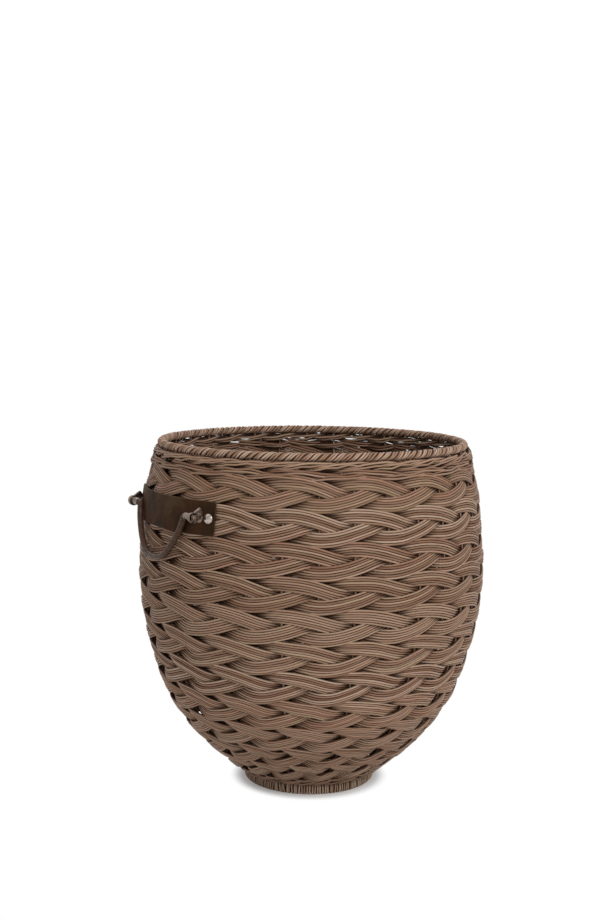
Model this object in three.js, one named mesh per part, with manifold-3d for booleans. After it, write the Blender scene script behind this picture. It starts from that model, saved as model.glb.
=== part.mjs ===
// A round belly basket: thirty-two upright stakes, eleven braided courses, a rolled rim, a bound foot,
// and two handles, each a leather band that carries a hinged metal bail in two eye posts.
// Millimetres, +Z up. The origin is the middle of the foot, on the surface that the basket stands on.
import * as THREE from "three";
import { mergeVertices } from "three/addons/utils/BufferGeometryUtils.js";
import Module from "manifold-3d";

// Outer shape of the wall
const BELLY_RADIUS = 225; // widest outer radius
const BELLY_HEIGHT = 285; // height of the widest place
const MOUTH_RADIUS = 202.5; // outer radius of the wall's top edge
const WALL_TOP = 442; // height of the wall's top edge
const LOWER_HEIGHT_SHARES = [0.19, 0.386, 0.585, 0.784];
const LOWER_RADIUS_SHARES = [0.419, 0.706, 0.862, 0.959];
const UPPER_HEIGHT_SHARES = [0.312, 0.657];
const UPPER_RADIUS_SHARES = [0.88, 0.631];

// Foot and base
const FOOT_RADIUS = 86;
const FOOT_HEIGHT = 14.5;
const FOOT_BAND = 12; // width of the foot's ring
const FOOT_TAPER = 1.2; // how far the foot draws in at the floor
const WALL_OVERHANG = 4.5; // how far the wall starts outside the foot
const BASE_MAT_THICKNESS = 3.5;
const BASE_MAT_MARGIN = 7; // from the foot's outer edge to the mat's edge
const BASE_HUB_RADIUS = 24; // bound crossing of the stakes under the mat

// Stakes
const STAKE_COUNT = 32;
const STAKE_WIDTH = 3;
const STAKE_PHASE = THREE.MathUtils.degToRad(4.35);

// Courses of braid round the stakes
const COURSE_COUNT = 11;
const FOOT_WALE_WIDTH = 17.8;
const TOP_WALE_WIDTH = 10.7;
const TOP_WALE_COUNT = 2;
const BRAID_DEPTH = 3.8; // from the wall's outer face to the outer side of the stakes
const BRAID_EDGE_DEPTH = 2.2; // how far a braid's two edges lie below its crown
const BRAID_DIVE_DEPTH = 2.8; // depth of a braid's outer face where a strand dives between two stakes
const BRAID_SWAY = 3.3; // how far a braid's edges and crests rise and fall from stake to stake
const WALE_DEPTH = 2.6;
const WALL_THICKNESS = 10.8; // through the whole weave, back strands included

// Rolled rim
const RIM_THICKNESS = 9.2;

// Handles: places
const HANDLE_ANGLES = { left: Math.PI, right: THREE.MathUtils.degToRad(11.25) };
const HANDLE_DROP = 73; // from the wall's top edge down the wall to the middle of the band
const BAND_HALF_ANGLE = THREE.MathUtils.degToRad(27.2);
const RIVET_ANGLE = THREE.MathUtils.degToRad(24.95);
const POST_ANGLE = THREE.MathUtils.degToRad(21.2);

// Handles: leather band and its rivets
const BAND_WIDTH = 41;
const BAND_THICKNESS = 2;
const RIVET_HEAD_RADIUS = 6.3;
const RIVET_HEAD_HEIGHT = 3.6;
const RIVET_SHANK_RADIUS = 2.3;
const RIVET_TAIL_RADIUS = 3.6;
const RIVET_TAIL_LENGTH = 1.2;
const BURR_RADIUS = 5.8;
const BURR_THICKNESS = 1.4;

// Handles: eye posts
const EYE_STANDOFF = 13.3; // from the wall's outer face to the middle of the eye
const EYE_RADIUS = 6.6;
const EYE_THICKNESS = 5.2;
const EYE_BORE_RADIUS = 3.6;
const EYE_RELIEF_RADIUS = 7.2; // round the eye, the post is cut back to the eye's two faces
const FLANGE_RADIUS = 6.6;
const FLANGE_THICKNESS = 1.5;
const NECK_RADIUS = 3.4;
const SHANK_RADIUS = 2.7;
const SHANK_END = 1.5; // how far the shank stands past its nut
const WASHER_RADIUS = 7;
const WASHER_THICKNESS = 1.2;
const NUT_RADIUS = 5.4;
const NUT_THICKNESS = 4;

// Handles: bail, its ferrules and their nuts
const BAIL_RADIUS = 3.8;
const BAIL_DROP = 59.5; // from the hinge axis down to the middle of the rod
const BAIL_REST_GAP = 0.6; // between the hanging bail and the wall that it leans on
const BAIL_STRAIGHT = 1.2; // how far the rod runs straight on out of a ferrule
const BAIL_LEG_INSET = 5.5; // from a ferrule's mouth in to the leg's top
const BAIL_HALF_WIDTH_SHARES = [0.99, 0.93, 0.8, 0.62, 0.38];
const BAIL_DROP_SHARES = [0.12, 0.28, 0.5, 0.73, 0.92];
const FERRULE_RADIUS = 4.7;
const FERRULE_LENGTH = 15;
const FERRULE_SOCKET = 8;
const PIN_RADIUS = 3;
const PIN_END = 0.4; // how far the pin stands past its nut
const BAIL_NUT_WIDTH = 8;
const BAIL_NUT_THICKNESS = 2.4;

// Clearances
const FIT_GAP = 0.3; // between two pieces that touch on the real basket
const HOLE_GAP = 0.4; // round a shank in its hole
const CUT_OVERRUN = 2;
const MERGE_DISTANCE = 0.001; // corners nearer than this are one corner

// Facets
const ROUND_SEGMENTS = 40; // round the basket
const BRAID_SECTIONS_PER_STAKE = 2;
const BAND_SEGMENTS = 18;
const FITTING_SEGMENTS = 10;
const DOME_RINGS = 3;
const RIM_SIDES = 8;
const BAIL_SIDES = 8;
const BAIL_STEPS = 26;
const HEXAGON_SIDES = 6;

const wasm = await Module();
wasm.setup();

const rattan = new THREE.MeshStandardMaterial({ color: 0x8c7362, roughness: 0.6, metalness: 0 });
const stakeRattan = new THREE.MeshStandardMaterial({ color: 0x77604f, roughness: 0.65, metalness: 0 });
const leather = new THREE.MeshStandardMaterial({ color: 0x3f3128, roughness: 0.5, metalness: 0 });
const nickel = new THREE.MeshStandardMaterial({ color: 0xb9b2aa, roughness: 0.3, metalness: 1 });
const pewter = new THREE.MeshStandardMaterial({ color: 0x8d847c, roughness: 0.4, metalness: 1 });
const bronze = new THREE.MeshStandardMaterial({ color: 0x4c403a, roughness: 0.42, metalness: 0.8 });

// Solids

// Six times the signed volume of a triangle mesh: positive where its faces point out.
function signedVolume(positions, indices) {
  const [a, b, c] = [new THREE.Vector3(), new THREE.Vector3(), new THREE.Vector3()];
  let volume = 0;
  for (let i = 0; i < indices.length; i += 3) {
    a.fromBufferAttribute(positions, indices[i]);
    b.fromBufferAttribute(positions, indices[i + 1]);
    c.fromBufferAttribute(positions, indices[i + 2]);
    volume += a.dot(b.cross(c));
  }
  return volume;
}

// Merges a geometry's shared corners, drops triangles that have no area, and turns its faces out.
function closed(geometry) {
  const bare = geometry.clone();
  bare.deleteAttribute("normal");
  bare.deleteAttribute("uv");
  const merged = mergeVertices(bare, MERGE_DISTANCE);
  const kept = [];
  const source = merged.index.array;
  for (let i = 0; i < source.length; i += 3) {
    const [p, q, r] = [source[i], source[i + 1], source[i + 2]];
    if (p !== q && q !== r && r !== p) kept.push(p, q, r);
  }
  if (signedVolume(merged.attributes.position, kept) < 0) kept.reverse();
  merged.setIndex(kept);
  return merged;
}

function toSolid(geometry) {
  const shape = closed(geometry);
  const mesh = new wasm.Mesh({
    numProp: 3,
    vertProperties: new Float32Array(shape.attributes.position.array),
    triVerts: new Uint32Array(shape.index.array),
  });
  return new wasm.Manifold(mesh);
}

function toGeometry(solid) {
  const mesh = solid.getMesh();
  const corners = new Float32Array(mesh.numVert * 3);
  for (let i = 0; i < mesh.numVert; i += 1) {
    const start = i * mesh.numProp;
    corners.set(mesh.vertProperties.subarray(start, start + 3), i * 3);
  }
  const geometry = new THREE.BufferGeometry();
  geometry.setAttribute("position", new THREE.BufferAttribute(corners, 3));
  geometry.setIndex(new THREE.BufferAttribute(new Uint32Array(mesh.triVerts), 1));
  return geometry;
}

function addPiece(parent, name, geometry, material) {
  const shape = closed(geometry);
  shape.computeVertexNormals();
  const mesh = new THREE.Mesh(shape, material);
  mesh.name = name;
  parent.add(mesh);
  return mesh;
}

// A ring round the Z axis whose section is a closed outline of points of radius and height.
function ring(outline) {
  return new THREE.LatheGeometry([...outline, outline[0]], ROUND_SEGMENTS).rotateX(Math.PI / 2);
}

// A turned solid on the Z axis: its outline starts and ends on the axis.
function turned(outline, segments = FITTING_SEGMENTS) {
  return new THREE.LatheGeometry(outline, segments).rotateX(Math.PI / 2);
}

// A flat washer or nut on the Z axis, between two heights.
function collar(outerRadius, innerRadius, low, high, outerSides = FITTING_SEGMENTS) {
  const length = high - low;
  const boreLength = length + 2 * CUT_OVERRUN;
  const body = new THREE.CylinderGeometry(outerRadius, outerRadius, length, outerSides);
  const bore = new THREE.CylinderGeometry(innerRadius, innerRadius, boreLength, FITTING_SEGMENTS);
  [body, bore].forEach((shape) => shape.rotateX(Math.PI / 2).translate(0, 0, (low + high) / 2));
  return toGeometry(toSolid(body).subtract(toSolid(bore)));
}

// The wall's outer face as a curve of radius and height, from the foot up to the top edge

const wallStart = new THREE.Vector2(FOOT_RADIUS + WALL_OVERHANG, FOOT_HEIGHT + FIT_GAP);
const belly = new THREE.Vector2(BELLY_RADIUS, BELLY_HEIGHT);
const wallEnd = new THREE.Vector2(MOUTH_RADIUS, WALL_TOP);

function between(low, high, heightShare, radiusShare) {
  return new THREE.Vector2(
    THREE.MathUtils.lerp(low.x, high.x, radiusShare),
    THREE.MathUtils.lerp(low.y, high.y, heightShare),
  );
}

const wallCurve = new THREE.SplineCurve([
  wallStart,
  ...LOWER_HEIGHT_SHARES.map((share, i) => between(wallStart, belly, share, LOWER_RADIUS_SHARES[i])),
  belly,
  ...UPPER_HEIGHT_SHARES.map((share, i) => between(belly, wallEnd, share, 1 - UPPER_RADIUS_SHARES[i])),
  wallEnd,
]);
const wallLength = wallCurve.getLength();
const coursePitch = (wallLength - FOOT_WALE_WIDTH - TOP_WALE_COUNT * TOP_WALE_WIDTH) / COURSE_COUNT;
const bandArc = wallLength - HANDLE_DROP;

// The outward normal of the wall's outline at a distance along it.
function wallNormal(arc) {
  const tangent = wallCurve.getTangentAt(arc / wallLength);
  return new THREE.Vector2(tangent.y, -tangent.x);
}

// A point of the wall's outline at a distance along it, and at a depth below the outer face.
function wallPoint(arc, depth) {
  return wallCurve.getPointAt(arc / wallLength).addScaledVector(wallNormal(arc), -depth);
}

// The frame of a fitting on the wall: Z points out of the wall, X runs round the basket.
function wallFrame(arc, angle) {
  const place = wallPoint(arc, 0);
  const slope = wallNormal(arc);
  const outward = new THREE.Vector3(slope.x * Math.cos(angle), slope.x * Math.sin(angle), slope.y);
  const around = new THREE.Vector3(-Math.sin(angle), Math.cos(angle), 0);
  const frame = new THREE.Matrix4().makeBasis(around, outward.clone().cross(around), outward);
  return frame.setPosition(place.x * Math.cos(angle), place.x * Math.sin(angle), place.y);
}

// Foot, stakes and base mat

// The flat sides of the round rings come this much nearer to the axis than their corners.
const facetSag = BELLY_RADIUS * (1 - Math.cos(Math.PI / ROUND_SEGMENTS));
const stakeOuterDepth = BRAID_DEPTH + FIT_GAP + facetSag;
const stakeInnerDepth = stakeOuterDepth + STAKE_WIDTH;
const stakeFloor = FOOT_HEIGHT + FIT_GAP;

function footRing() {
  return ring([
    new THREE.Vector2(FOOT_RADIUS - FOOT_BAND, 0),
    new THREE.Vector2(FOOT_RADIUS - FOOT_TAPER, 0),
    new THREE.Vector2(FOOT_RADIUS, FOOT_TAPER),
    new THREE.Vector2(FOOT_RADIUS, FOOT_HEIGHT),
    new THREE.Vector2(FOOT_RADIUS - FOOT_BAND, FOOT_HEIGHT),
  ]);
}

// One stake in its own plane: out along the base from the hub, then up inside the wall to the rim.
function stakeOutline() {
  const arcs = [0, ...courseEdges().slice(0, -1), wallLength - FIT_GAP / 2];
  const outer = arcs.map((arc) => wallPoint(arc, stakeOuterDepth));
  const inner = arcs.map((arc) => wallPoint(arc, stakeInnerDepth));
  const hubSide = BASE_HUB_RADIUS - STAKE_WIDTH;
  const bend = FOOT_RADIUS - STAKE_WIDTH;
  return new THREE.Shape([
    new THREE.Vector2(hubSide, stakeFloor),
    new THREE.Vector2(bend, stakeFloor),
    ...outer,
    ...inner.reverse(),
    new THREE.Vector2(bend - STAKE_WIDTH, stakeFloor + STAKE_WIDTH),
    new THREE.Vector2(hubSide, stakeFloor + STAKE_WIDTH),
  ]);
}

// Distances along the wall of the edges between its rings: foot wale, courses, top wales.
function courseEdges() {
  const edges = [FOOT_WALE_WIDTH];
  for (let i = 0; i < COURSE_COUNT; i += 1) edges.push(edges.at(-1) + coursePitch);
  for (let i = 0; i < TOP_WALE_COUNT; i += 1) edges.push(edges.at(-1) + TOP_WALE_WIDTH);
  edges[edges.length - 1] = wallLength;
  return edges;
}

function stakeFrame() {
  const hub = new THREE.CylinderGeometry(BASE_HUB_RADIUS, BASE_HUB_RADIUS, STAKE_WIDTH, STAKE_COUNT);
  hub.rotateX(Math.PI / 2).translate(0, 0, stakeFloor + STAKE_WIDTH / 2);
  let frame = toSolid(hub);
  const stake = new THREE.ExtrudeGeometry(stakeOutline(), { depth: STAKE_WIDTH, bevelEnabled: false });
  stake.translate(0, 0, -STAKE_WIDTH / 2).rotateX(Math.PI / 2);
  for (let i = 0; i < STAKE_COUNT; i += 1) {
    const angle = STAKE_PHASE + (i * 2 * Math.PI) / STAKE_COUNT;
    frame = frame.add(toSolid(stake.clone().rotateZ(angle)));
  }
  return toGeometry(frame);
}

function baseMat() {
  const low = stakeFloor + STAKE_WIDTH + FIT_GAP;
  const high = low + BASE_MAT_THICKNESS;
  const radius = FOOT_RADIUS - BASE_MAT_MARGIN;
  return turned(
    [
      new THREE.Vector2(0, low),
      new THREE.Vector2(radius, low),
      new THREE.Vector2(radius, high),
      new THREE.Vector2(0, high),
    ],
    ROUND_SEGMENTS,
  );
}

// Braided rings

// One section of a course, flat inside. Its outer face has two edges and two crests with a valley between.
// All of them rise at one stake and fall at the next, as the strands do: wave goes from 1 to -1 and back.
function courseOutline(edgeArcs, edgeSways, wave, lowDives, highDives) {
  const bottom = edgeArcs[0] + FIT_GAP / 2 + edgeSways[0] * wave;
  const top = edgeArcs[1] - FIT_GAP / 2 + edgeSways[1] * wave;
  const valley = (edgeArcs[0] + edgeArcs[1]) / 2 + BRAID_SWAY * wave;
  return [
    wallPoint(bottom, BRAID_DEPTH),
    wallPoint(bottom, lowDives ? BRAID_DIVE_DEPTH : BRAID_EDGE_DEPTH),
    wallPoint((bottom + valley) / 2, lowDives ? BRAID_DIVE_DEPTH : 0),
    wallPoint(valley, BRAID_EDGE_DEPTH),
    wallPoint((valley + top) / 2, highDives ? BRAID_DIVE_DEPTH : 0),
    wallPoint(top, highDives ? BRAID_DIVE_DEPTH : BRAID_EDGE_DEPTH),
    wallPoint(top, BRAID_DEPTH),
  ];
}

// A course of braid between two distances along the wall, with a section at each stake and one between.
// Over every two stakes, the lower crest dives once, where its strand passes inside, and so does the upper.
function courseRing(edgeArcs, edgeSways) {
  const sections = BRAID_SECTIONS_PER_STAKE * STAKE_COUNT;
  const sectionsPerWave = 2 * BRAID_SECTIONS_PER_STAKE;
  const positions = [];
  const indices = [];
  for (let i = 0; i < sections; i += 1) {
    const angle = STAKE_PHASE + (i * 2 * Math.PI) / sections;
    const wave = Math.cos((i * 2 * Math.PI) / sectionsPerWave);
    const step = i % sectionsPerWave;
    const outline = courseOutline(edgeArcs, edgeSways, wave, step === 1, step === sectionsPerWave - 1);
    outline.forEach((point) => positions.push(point.x * Math.cos(angle), point.x * Math.sin(angle), point.y));
    const count = outline.length;
    for (let j = 0; j < count; j += 1) {
      const [a, b] = [i * count + j, i * count + ((j + 1) % count)];
      const [c, d] = [a, b].map((corner) => (corner + count) % (sections * count));
      indices.push(a, b, c, b, d, c);
    }
  }
  const course = new THREE.BufferGeometry();
  course.setAttribute("position", new THREE.Float32BufferAttribute(positions, 3));
  course.setIndex(indices);
  return course;
}

// A narrow wale between two distances along the wall, thinner than a course.
function waleRing(low, high) {
  const bottom = low + FIT_GAP / 2;
  const top = high - FIT_GAP / 2;
  const faceDepth = BRAID_DEPTH - WALE_DEPTH;
  return ring([
    wallPoint(bottom, BRAID_DEPTH),
    wallPoint(bottom, faceDepth),
    wallPoint(top, faceDepth),
    wallPoint(top, BRAID_DEPTH),
  ]);
}

// The rolled rim: a rope seated with a flat side on the wall's top edge, square to the wall.
function rimRing() {
  const radius = RIM_THICKNESS / 2;
  const along = wallCurve.getTangentAt(1);
  const middle = wallPoint(wallLength, radius / 2).addScaledVector(along, radius + FIT_GAP / 2);
  const halfSide = Math.PI / RIM_SIDES;
  const outline = [];
  for (let i = 0; i < RIM_SIDES; i += 1) {
    const corner = along.clone().multiplyScalar(radius / Math.cos(halfSide));
    outline.push(corner.rotateAround(new THREE.Vector2(), (2 * i + 1) * halfSide).add(middle));
  }
  return ring(outline);
}

// Holes for the shanks of both handles, through whatever lies between two depths of the wall.
function shankHoles(angles) {
  return angles.flatMap((angle) =>
    [-1, 1].flatMap((side) => [
      shankHole(angle + side * RIVET_ANGLE, RIVET_SHANK_RADIUS),
      shankHole(angle + side * POST_ANGLE, SHANK_RADIUS),
    ]),
  );
}

function shankHole(angle, shankRadius) {
  const radius = shankRadius + HOLE_GAP;
  const hole = new THREE.CylinderGeometry(radius, radius, 2 * WALL_THICKNESS, FITTING_SEGMENTS);
  return toSolid(hole.rotateX(Math.PI / 2).applyMatrix4(wallFrame(bandArc, angle)));
}

const basket = new THREE.Group();
addPiece(basket, "foot_border", footRing(), rattan);
addPiece(basket, "stake_frame", stakeFrame(), stakeRattan);
addPiece(basket, "base_mat", baseMat(), rattan);

const edges = courseEdges();
const holeReach = SHANK_RADIUS + HOLE_GAP + BRAID_SWAY;
addPiece(basket, "foot_wale", waleRing(0, FOOT_WALE_WIDTH), rattan);
for (let i = 0; i < COURSE_COUNT; i += 1) {
  const name = `course_${String(i + 1).padStart(2, "0")}`;
  const [low, high] = [edges[i], edges[i + 1]];
  const lowSway = i > 0 ? BRAID_SWAY : 0;
  const highSway = i < COURSE_COUNT - 1 ? BRAID_SWAY : 0;
  let course = courseRing([low, high], [lowSway, highSway]);
  if (low - holeReach < bandArc && bandArc < high + holeReach) {
    const drilled = shankHoles(Object.values(HANDLE_ANGLES));
    course = toGeometry(drilled.reduce((solid, hole) => solid.subtract(hole), toSolid(course)));
  }
  addPiece(basket, name, course, rattan);
}
for (let i = 0; i < TOP_WALE_COUNT; i += 1) {
  const [low, high] = edges.slice(COURSE_COUNT + i);
  addPiece(basket, `top_wale_${i + 1}`, waleRing(low, high), rattan);
}
addPiece(basket, "rim_border", rimRing(), rattan);

// Handles: each is built with +X out of the basket, and turned to its place

const bandInner = -FIT_GAP; // depths below the wall's outer face, so negative is outside it
const bandOuter = bandInner - BAND_THICKNESS;
const seat = FIT_GAP - bandOuter; // height above the wall's outer face where a fitting sits on the band
const eyeFrame = wallFrame(bandArc, POST_ANGLE);
const eyeCentre = new THREE.Vector3(0, 0, EYE_STANDOFF).applyMatrix4(eyeFrame);
const hinge = new THREE.Vector3(eyeCentre.x, 0, eyeCentre.z);
const eyeFace = eyeCentre.y - EYE_THICKNESS / 2; // the eye's face towards the ferrule
const ferruleFace = eyeFace - FIT_GAP;
const ferruleMouth = ferruleFace - FERRULE_LENGTH;
const nutFace = eyeCentre.y + EYE_THICKNESS / 2 + FIT_GAP;

// The leather band: a strip of the wall's own shape that lies on the braids, open at both ends.
function leatherBand() {
  const arcs = [bandArc - BAND_WIDTH / 2, bandArc, bandArc + BAND_WIDTH / 2];
  const outline = [
    ...arcs.map((arc) => wallPoint(arc, bandOuter)),
    ...arcs.reverse().map((arc) => wallPoint(arc, bandInner)),
  ];
  const positions = [];
  for (let i = 0; i <= BAND_SEGMENTS; i += 1) {
    const angle = THREE.MathUtils.lerp(-BAND_HALF_ANGLE, BAND_HALF_ANGLE, i / BAND_SEGMENTS);
    outline.forEach((point) => positions.push(point.x * Math.cos(angle), point.x * Math.sin(angle), point.y));
  }
  const count = outline.length;
  const indices = [];
  for (let i = 0; i < BAND_SEGMENTS; i += 1) {
    for (let j = 0; j < count; j += 1) {
      const [a, b] = [i * count + j, i * count + ((j + 1) % count)];
      indices.push(a, b, a + count, b, b + count, a + count);
    }
  }
  const last = BAND_SEGMENTS * count;
  THREE.ShapeUtils.triangulateShape(outline, []).forEach(([a, b, c]) => {
    indices.push(a, c, b, last + a, last + b, last + c);
  });
  const strip = new THREE.BufferGeometry();
  strip.setAttribute("position", new THREE.Float32BufferAttribute(positions, 3));
  strip.setIndex(indices);
  return toGeometry(shankHoles([0]).reduce((solid, hole) => solid.subtract(hole), toSolid(strip)));
}

// A domed rivet: head on the leather, shank through band and weave, peened tail over its burr.
function rivet(side) {
  const burrBack = -WALL_THICKNESS - BURR_THICKNESS - FIT_GAP;
  const dome = [];
  for (let i = 0; i <= DOME_RINGS; i += 1) {
    const turn = (i / DOME_RINGS) * (Math.PI / 2);
    const radius = RIVET_HEAD_RADIUS * Math.sin(turn);
    dome.push(new THREE.Vector2(radius, seat + RIVET_HEAD_HEIGHT * Math.cos(turn)));
  }
  const shape = turned([
    ...dome,
    new THREE.Vector2(RIVET_SHANK_RADIUS, seat),
    new THREE.Vector2(RIVET_SHANK_RADIUS, burrBack),
    new THREE.Vector2(RIVET_TAIL_RADIUS, burrBack),
    new THREE.Vector2(RIVET_TAIL_RADIUS, burrBack - RIVET_TAIL_LENGTH),
    new THREE.Vector2(0, burrBack - RIVET_TAIL_LENGTH),
  ]);
  return shape.applyMatrix4(wallFrame(bandArc, side * RIVET_ANGLE));
}

function rivetBurr(side) {
  const low = -WALL_THICKNESS - BURR_THICKNESS;
  const burr = collar(BURR_RADIUS, RIVET_SHANK_RADIUS + FIT_GAP, low, -WALL_THICKNESS);
  return burr.applyMatrix4(wallFrame(bandArc, side * RIVET_ANGLE));
}

const nutSeat = -WALL_THICKNESS - WASHER_THICKNESS - FIT_GAP;
const shankEnd = nutSeat - NUT_THICKNESS - SHANK_END;

// An eye post: shank through the wall, flange on the leather, neck, and an eye whose bore is the hinge.
function eyePost(side) {
  const stem = turned([
    new THREE.Vector2(0, EYE_STANDOFF),
    new THREE.Vector2(NECK_RADIUS, EYE_STANDOFF),
    new THREE.Vector2(NECK_RADIUS, seat + FLANGE_THICKNESS),
    new THREE.Vector2(FLANGE_RADIUS, seat + FLANGE_THICKNESS),
    new THREE.Vector2(FLANGE_RADIUS, seat),
    new THREE.Vector2(SHANK_RADIUS, seat),
    new THREE.Vector2(SHANK_RADIUS, shankEnd),
    new THREE.Vector2(0, shankEnd),
  ]);
  stem.applyMatrix4(wallFrame(bandArc, side * POST_ANGLE));
  const disc = (radius, thickness, shift) => {
    const shape = new THREE.CylinderGeometry(radius, radius, thickness, FITTING_SEGMENTS);
    return toSolid(shape.translate(eyeCentre.x, side * eyeCentre.y + shift, eyeCentre.z));
  };
  const reliefShift = (EYE_THICKNESS + FLANGE_RADIUS) / 2;
  const neck = toSolid(stem)
    .subtract(disc(EYE_RELIEF_RADIUS, FLANGE_RADIUS, reliefShift))
    .subtract(disc(EYE_RELIEF_RADIUS, FLANGE_RADIUS, -reliefShift));
  const eye = disc(EYE_RADIUS, EYE_THICKNESS, 0);
  const bore = disc(EYE_BORE_RADIUS, EYE_THICKNESS + 2 * CUT_OVERRUN, 0);
  return toGeometry(neck.add(eye).subtract(bore));
}

function postWasher(side) {
  const low = -WALL_THICKNESS - WASHER_THICKNESS;
  const washer = collar(WASHER_RADIUS, SHANK_RADIUS + FIT_GAP, low, -WALL_THICKNESS);
  return washer.applyMatrix4(wallFrame(bandArc, side * POST_ANGLE));
}

function postNut(side) {
  const low = nutSeat - NUT_THICKNESS;
  const nut = collar(NUT_RADIUS, SHANK_RADIUS + FIT_GAP, low, nutSeat, HEXAGON_SIDES);
  return nut.applyMatrix4(wallFrame(bandArc, side * POST_ANGLE));
}

// The wall's outer radius at a height.
function wallRadiusAt(height) {
  let [low, high] = [0, wallLength];
  while (high - low > MERGE_DISTANCE) {
    const middle = (low + high) / 2;
    if (wallPoint(middle, 0).y < height) low = middle;
    else high = middle;
  }
  return wallPoint(low, 0).x;
}

// Places of the bail's rod in its own plane: distances along the hinge axis, and drops below it.
const legTop = ferruleMouth - BAIL_LEG_INSET;
const bailPlaces = [
  ...BAIL_HALF_WIDTH_SHARES.map((share, i) => [legTop * share, BAIL_DROP * BAIL_DROP_SHARES[i]]),
  [0, BAIL_DROP],
];

// The angle at which the hanging bail leans out, so that its rod just clears the round wall.
function bailLean() {
  const clearance = BAIL_RADIUS + BAIL_REST_GAP;
  return Math.max(
    ...bailPlaces.map(([across, drop]) => {
      const reach = Math.sqrt((wallRadiusAt(hinge.z - drop) + clearance) ** 2 - across ** 2);
      return Math.asin((reach - hinge.x) / drop);
    }),
  );
}

// The bail's rod in its hanging place, with the hinge axis as its origin: Y runs along the axis.
function bailPath() {
  const lean = bailLean();
  const at = (across, drop) => new THREE.Vector3(drop * Math.sin(lean), across, -drop * Math.cos(lean));
  const shoulder = (BAIL_LEG_INSET - BAIL_STRAIGHT) * (1 - Math.SQRT1_2);
  const half = [
    at(ferruleMouth + FERRULE_SOCKET - FIT_GAP, 0),
    at(ferruleMouth, 0),
    at(ferruleMouth - BAIL_STRAIGHT, 0),
    at(legTop + shoulder, shoulder),
    ...bailPlaces.map(([across, drop]) => at(across, drop)),
  ];
  const otherHalf = half.slice(0, -1).reverse();
  const mirrored = otherHalf.map((point) => new THREE.Vector3(point.x, -point.y, point.z));
  return new THREE.CatmullRomCurve3([...half, ...mirrored], false, "centripetal");
}

function bailRod() {
  const section = new THREE.Shape().absarc(0, 0, BAIL_RADIUS, 0, 2 * Math.PI);
  const outline = new THREE.Shape(section.getSpacedPoints(BAIL_SIDES).slice(0, -1));
  const path = bailPath();
  return new THREE.ExtrudeGeometry(outline, { steps: BAIL_STEPS, bevelEnabled: false, extrudePath: path });
}

// A ferrule on the end of the bail's rod, in one piece with the pin that turns in the eye.
function ferrule(side) {
  const socketRadius = BAIL_RADIUS + FIT_GAP;
  const pinEnd = nutFace + BAIL_NUT_THICKNESS + PIN_END;
  const shape = new THREE.LatheGeometry(
    [
      new THREE.Vector2(0, ferruleMouth + FERRULE_SOCKET),
      new THREE.Vector2(socketRadius, ferruleMouth + FERRULE_SOCKET),
      new THREE.Vector2(socketRadius, ferruleMouth),
      new THREE.Vector2(FERRULE_RADIUS, ferruleMouth),
      new THREE.Vector2(FERRULE_RADIUS, ferruleFace),
      new THREE.Vector2(PIN_RADIUS, ferruleFace),
      new THREE.Vector2(PIN_RADIUS, pinEnd),
      new THREE.Vector2(0, pinEnd),
    ],
    FITTING_SEGMENTS,
  );
  return side > 0 ? shape : shape.rotateZ(Math.PI);
}

// The square nut that keeps a pin in its eye.
function bailNut(side) {
  const middle = nutFace + BAIL_NUT_THICKNESS / 2;
  const body = new THREE.BoxGeometry(BAIL_NUT_WIDTH, BAIL_NUT_THICKNESS, BAIL_NUT_WIDTH);
  const boreRadius = PIN_RADIUS + FIT_GAP;
  const boreLength = BAIL_NUT_THICKNESS + 2 * CUT_OVERRUN;
  const bore = new THREE.CylinderGeometry(boreRadius, boreRadius, boreLength, FITTING_SEGMENTS);
  const nut = toGeometry(toSolid(body).subtract(toSolid(bore)));
  return nut.translate(0, side * middle, 0);
}

for (const [name, angle] of Object.entries(HANDLE_ANGLES)) {
  const handle = new THREE.Group();
  handle.rotation.z = angle;
  basket.add(handle);
  addPiece(handle, `${name}_band`, leatherBand(), leather);
  const bail = new THREE.Group();
  bail.position.copy(hinge);
  handle.add(bail);
  addPiece(bail, `${name}_bail_rod`, bailRod(), bronze);
  for (const side of [-1, 1]) {
    const end = side > 0 ? "a" : "b";
    addPiece(handle, `${name}_rivet_${end}`, rivet(side), nickel);
    addPiece(handle, `${name}_rivet_burr_${end}`, rivetBurr(side), nickel);
    addPiece(handle, `${name}_eye_post_${end}`, eyePost(side), pewter);
    addPiece(handle, `${name}_post_washer_${end}`, postWasher(side), pewter);
    addPiece(handle, `${name}_post_nut_${end}`, postNut(side), pewter);
    addPiece(bail, `${name}_ferrule_${end}`, ferrule(side), pewter);
    addPiece(bail, `${name}_bail_nut_${end}`, bailNut(side), pewter);
  }
}

export default basket;
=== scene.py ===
# %% [markdown]
# A belly basket of braided rattan, with leather-backed bail handles.
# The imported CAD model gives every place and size. This lesson dresses it: each woven piece is worked out
# with numpy as rods carried along paths, and each finish is a node material written as Python expressions.
# Nothing is moved or resized. A woven piece only takes the place of the plain ring that stood for it.

import bpy
import numpy as np
from mathutils import Matrix, Vector


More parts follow.
